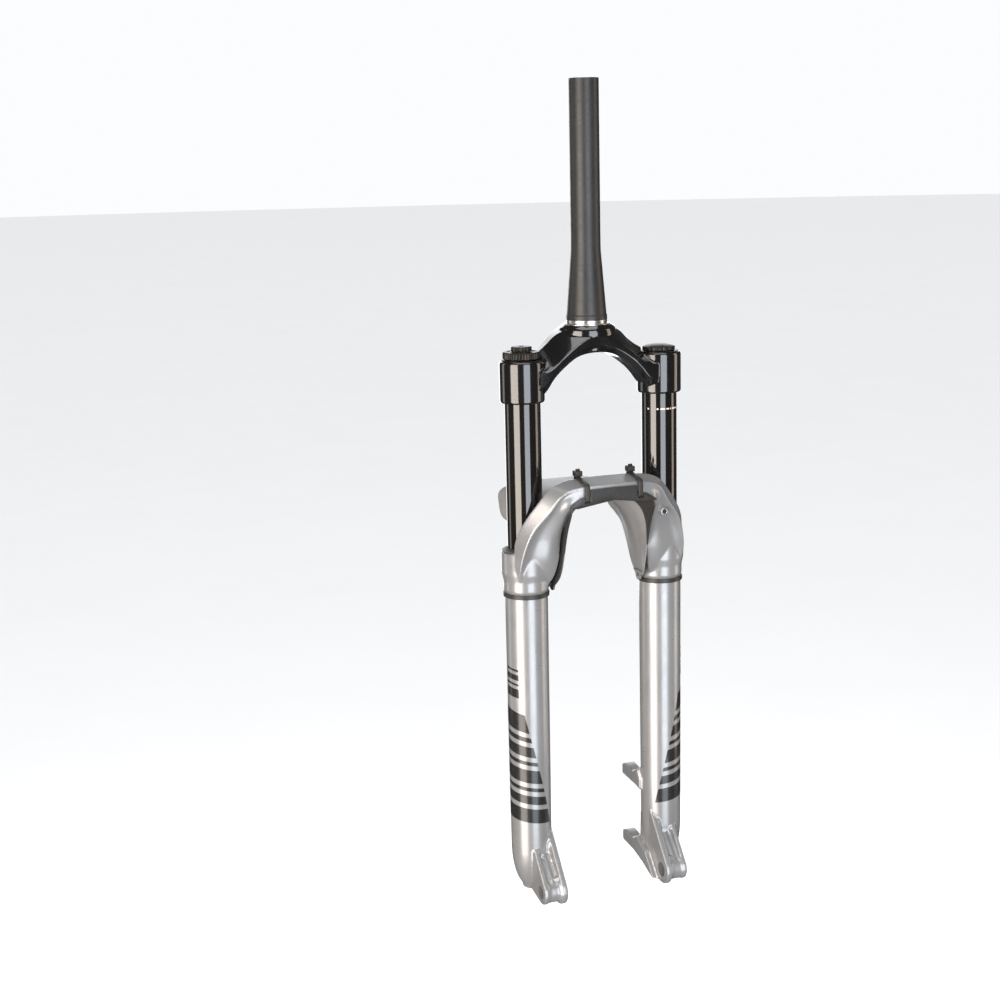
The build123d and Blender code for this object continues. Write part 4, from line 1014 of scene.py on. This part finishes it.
def fender_lip():
    """Glossy lip of the fender that covers the arch's front face and ends in a point at each side."""
    places = sorted({*np.linspace(-46, 46, 93), -25.2, -24.4, 24.4, 25.2})
    rings = []
    for x in places:
        top = np.interp(abs(x), *zip(*LIP_TOP))
        low = np.interp(abs(x), *zip(*LIP_BOTTOM))
        fold = low + 0.45 * (top - low)
        section = [(0, top - 0.1), (-0.7, top), (-1.1, top - 0.2 * (top - low)), (-1.4, fold),
                   (-1.2, low + 0.1 * (top - low)), (-0.7, low), (0, low + 0.1)]
        rings.append([(x, LIP_Y + y, z) for y, z in section])
    lip = link("fender_lip_skin", mesh_from("fender_lip_skin", [skinned(rings)]))
    slot = [(LIP_Y - 3, ARCH_TIE_LOW_Z + 0.2), (LIP_Y + 3, ARCH_TIE_LOW_Z + 0.2),
            (LIP_Y + 3, ARCH_TIE_LOW_Z - 1.4), (LIP_Y - 3, ARCH_TIE_LOW_Z - 1.4)]
    for sign in SIDES.values():
        cut(lip, prism(slot, sign * ARCH_TIE_X - 3, sign * ARCH_TIE_X + 3))
    finish_piece(lip, fender_black, "lower_legs", ["fender"], 40)


def ring_band(path, half_width, thickness, across):
    """Closed band along a closed path of points, each with its outward direction. Across is the
    direction of the band's width."""
    across = Vector(across)
    section = rounded([
        (0, -half_width), (thickness, -half_width), (thickness, half_width), (0, half_width)], 0.3)
    rings = [[Vector(point) + Vector(out) * a + across * b for a, b in section] for point, out in path]
    return skinned(rings, capped=False)


def bevelled_block(centre, size, edge):
    """Closed shell of a small moulded block with rounded edges."""
    half = [value / 2 for value in size]
    rings = []
    for inset, height in ((edge, -half[2]), (edge * 0.3, -half[2] + edge * 0.3), (0, -half[2] + edge),
                          (0, half[2] - edge), (edge * 0.3, half[2] - edge * 0.3), (edge, half[2])):
        outline = rounded([(-half[0] + inset, -half[1] + inset), (half[0] - inset, -half[1] + inset),
                           (half[0] - inset, half[1] - inset), (-half[0] + inset, half[1] - inset)], edge)
        rings.append([(centre[0] + a, centre[1] + b, centre[2] + height) for a, b in outline])
    return skinned(rings)


def loop_path(x, outline, radius):
    """Points with outward directions round a closed outline of (Y, Z) in the plane at x."""
    flat = [Vector(point) for point in rounded(outline, radius, 5, turned=False)]
    middle = sum(flat, Vector((0, 0))) / len(flat)
    path = []
    for index, point in enumerate(flat):
        ahead = flat[(index + 1) % len(flat)] - flat[index - 1]
        out = Vector((ahead.y, -ahead.x)).normalized()
        if out.dot(point - middle) < 0:
            out = -out
        path.append(((x, point.x, point.y), (0, out.x, out.y)))
    return path


def ties():
    """Nylon ties: straps with square heads and trimmed tails, round the arch and round each leg."""
    loop = [(-32.6, -144.0), (-59.0, -149.0), (-59.0, ARCH_TIE_LOW_Z), (-32.6, ARCH_TIE_LOW_Z)]
    head_y, head_z = ARCH_TIE_HEAD
    for side, sign in SIDES.items():
        x = sign * ARCH_TIE_X
        shells = [ring_band(loop_path(x, loop, 2.5), TIE_WIDTH / 2, TIE_THICKNESS, (1, 0, 0))]
        shells.append(bevelled_block((x, head_y, head_z), (7.4, 7.6, 5.6), 0.9))
        shells.append(bevelled_block((x, head_y - 0.4, head_z + 3.2), (4.2, 1.3, 3.0), 0.3))
        tie = link(f"arch_tie_{side}_skin", mesh_from(f"arch_tie_{side}_skin", shells))
        finish_piece(tie, nylon, "lower_legs", [f"arch_tie_{side}"])
        x, rear = sign * LEG_X, corners(f"leg_tie_{side}")[1].y
        path = []
        for turn in np.linspace(0, 2 * pi, 121)[:-1]:
            out = (cos(turn), sin(turn), 0)
            path.append(((x + LEG_TIE_R * out[0], LEG_Y + LEG_TIE_R * out[1], LEG_TIE_Z), out))
        shells = [ring_band(path, 2.0, TIE_THICKNESS, (0, 0, 1))]
        shells.append(bevelled_block((x, rear - 2.6, LEG_TIE_Z), (7.0, 5.2, 6.8), 0.9))
        shells.append(bevelled_block((x - sign * 4.6, rear - 3.4, LEG_TIE_Z), (3.4, 1.3, 3.8), 0.3))
        tie = link(f"leg_tie_{side}_skin", mesh_from(f"leg_tie_{side}_skin", shells))
        finish_piece(tie, nylon, "lower_legs", [f"leg_tie_{side}"])


# --- Studio ---------------------------------------------------------------------------------------
# All in metres. The camera is given by its place and the directions to its right, up and back.
CAMERA_PLACE = (-0.6714, -1.4842, 0.1596)
CAMERA_RIGHT = (0.9301, -0.3665, -0.0234)
CAMERA_UP = (0.0950, 0.1786, 0.9793)
CAMERA_BACK = (-0.3547, -0.9131, 0.2009)
LENS = 60.2
FLOOR_Z = -1.5
MIDDLE = Vector((0.0, -0.01, -0.17))
# Soft boxes: bearing from the camera's side in degrees, distance, height, width, tallness, power in
# watts and colour.
SOFTBOXES = {
    "warm_box": (-38, 1.9, -0.1, 1.25, 2.6, 62, (1.0, 0.90, 0.82)),
    "cool_box": (26, 2.1, 0.0, 1.2, 2.6, 42, (0.86, 0.92, 1.0)),
    "side_box": (98, 2.2, 0.1, 0.7, 2.4, 12, (1.0, 0.82, 0.68)),
    "back_box": (190, 2.4, 0.3, 2.0, 2.2, 30, (0.95, 0.97, 1.0)),
    "rim_box": (-105, 2.3, 0.2, 0.6, 2.4, 5, (1.0, 0.95, 0.9)),
    "top_box": (10, 0.4, 2.2, 1.8, 1.8, 22, (1.0, 1.0, 1.0)),
}


def camera():
    """The main camera."""
    data = bpy.data.cameras.new("camera")
    data.lens = LENS
    data.sensor_width = 36.0
    thing = bpy.data.objects.new("camera", data)
    bpy.context.scene.collection.objects.link(thing)
    turn = Matrix((CAMERA_RIGHT, CAMERA_UP, CAMERA_BACK)).transposed().to_4x4()
    thing.matrix_world = Matrix.Translation(CAMERA_PLACE) @ turn
    bpy.context.scene.camera = thing


def softbox(name, azimuth, distance, height, width, tall, power, colour):
    """Area light turned to the object, at a bearing from the camera's side of it."""
    data = bpy.data.lights.new(name, "AREA")
    data.shape = "RECTANGLE"
    data.size = width
    data.size_y = tall
    data.energy = power
    data.color = colour
    thing = bpy.data.objects.new(name, data)
    bpy.context.scene.collection.objects.link(thing)
    front = np.arctan2(CAMERA_PLACE[1] - MIDDLE.y, CAMERA_PLACE[0] - MIDDLE.x)
    turn = front + radians(azimuth)
    thing.location = MIDDLE + Vector((cos(turn) * distance, sin(turn) * distance, height))
    thing.rotation_mode = "QUATERNION"
    thing.rotation_quaternion = (MIDDLE - thing.location).to_track_quat("-Z", "Y")


def studio():
    """Pale floor far below the hanging fork, soft boxes and a pale surround."""
    size = 60.0
    floor = link("floor", bpy.data.meshes.new("floor"))
    ring = [(size * cos(turn), size * sin(turn), FLOOR_Z) for turn in np.linspace(0, 2 * pi, 97)[:-1]]
    floor.data.from_pydata(ring, [], [tuple(range(len(ring)))])
    paper = Look("floor_paper", Metallic=0.0)
    shade = paper.blend(paper.noise(3.0, 3.0), grey(0.91), grey(0.94))
    floor.data.materials.append(paper.paint(shade, paper.spread(paper.noise(40.0), 0.3, 0.7, 0.8, 0.9)))
    floor.visible_glossy = False
    for name, settings in SOFTBOXES.items():
        softbox(name, *settings)
    world = bpy.data.worlds.new("studio")
    bpy.context.scene.world = world
    world.use_nodes = True
    tree = world.node_tree
    background = tree.nodes["Background"]
    rays = tree.nodes.new("ShaderNodeLightPath")
    strength = tree.nodes.new("ShaderNodeMapRange")
    strength.inputs["To Min"].default_value = 1.0
    strength.inputs["To Max"].default_value = 0.05
    tree.links.new(rays.outputs["Is Glossy Ray"], strength.inputs["Value"])
    tree.links.new(strength.outputs["Result"], background.inputs["Strength"])
    background.inputs["Color"].default_value = (0.97, 0.98, 1.0, 1.0)
    bpy.context.scene.view_settings.view_transform = "Standard"


camera()
studio()
repaint_frame()
steerer()
crown()
stanchions()
dials()
top_caps()
lower_legs()
wipers()
graphics()
fender()
ties()
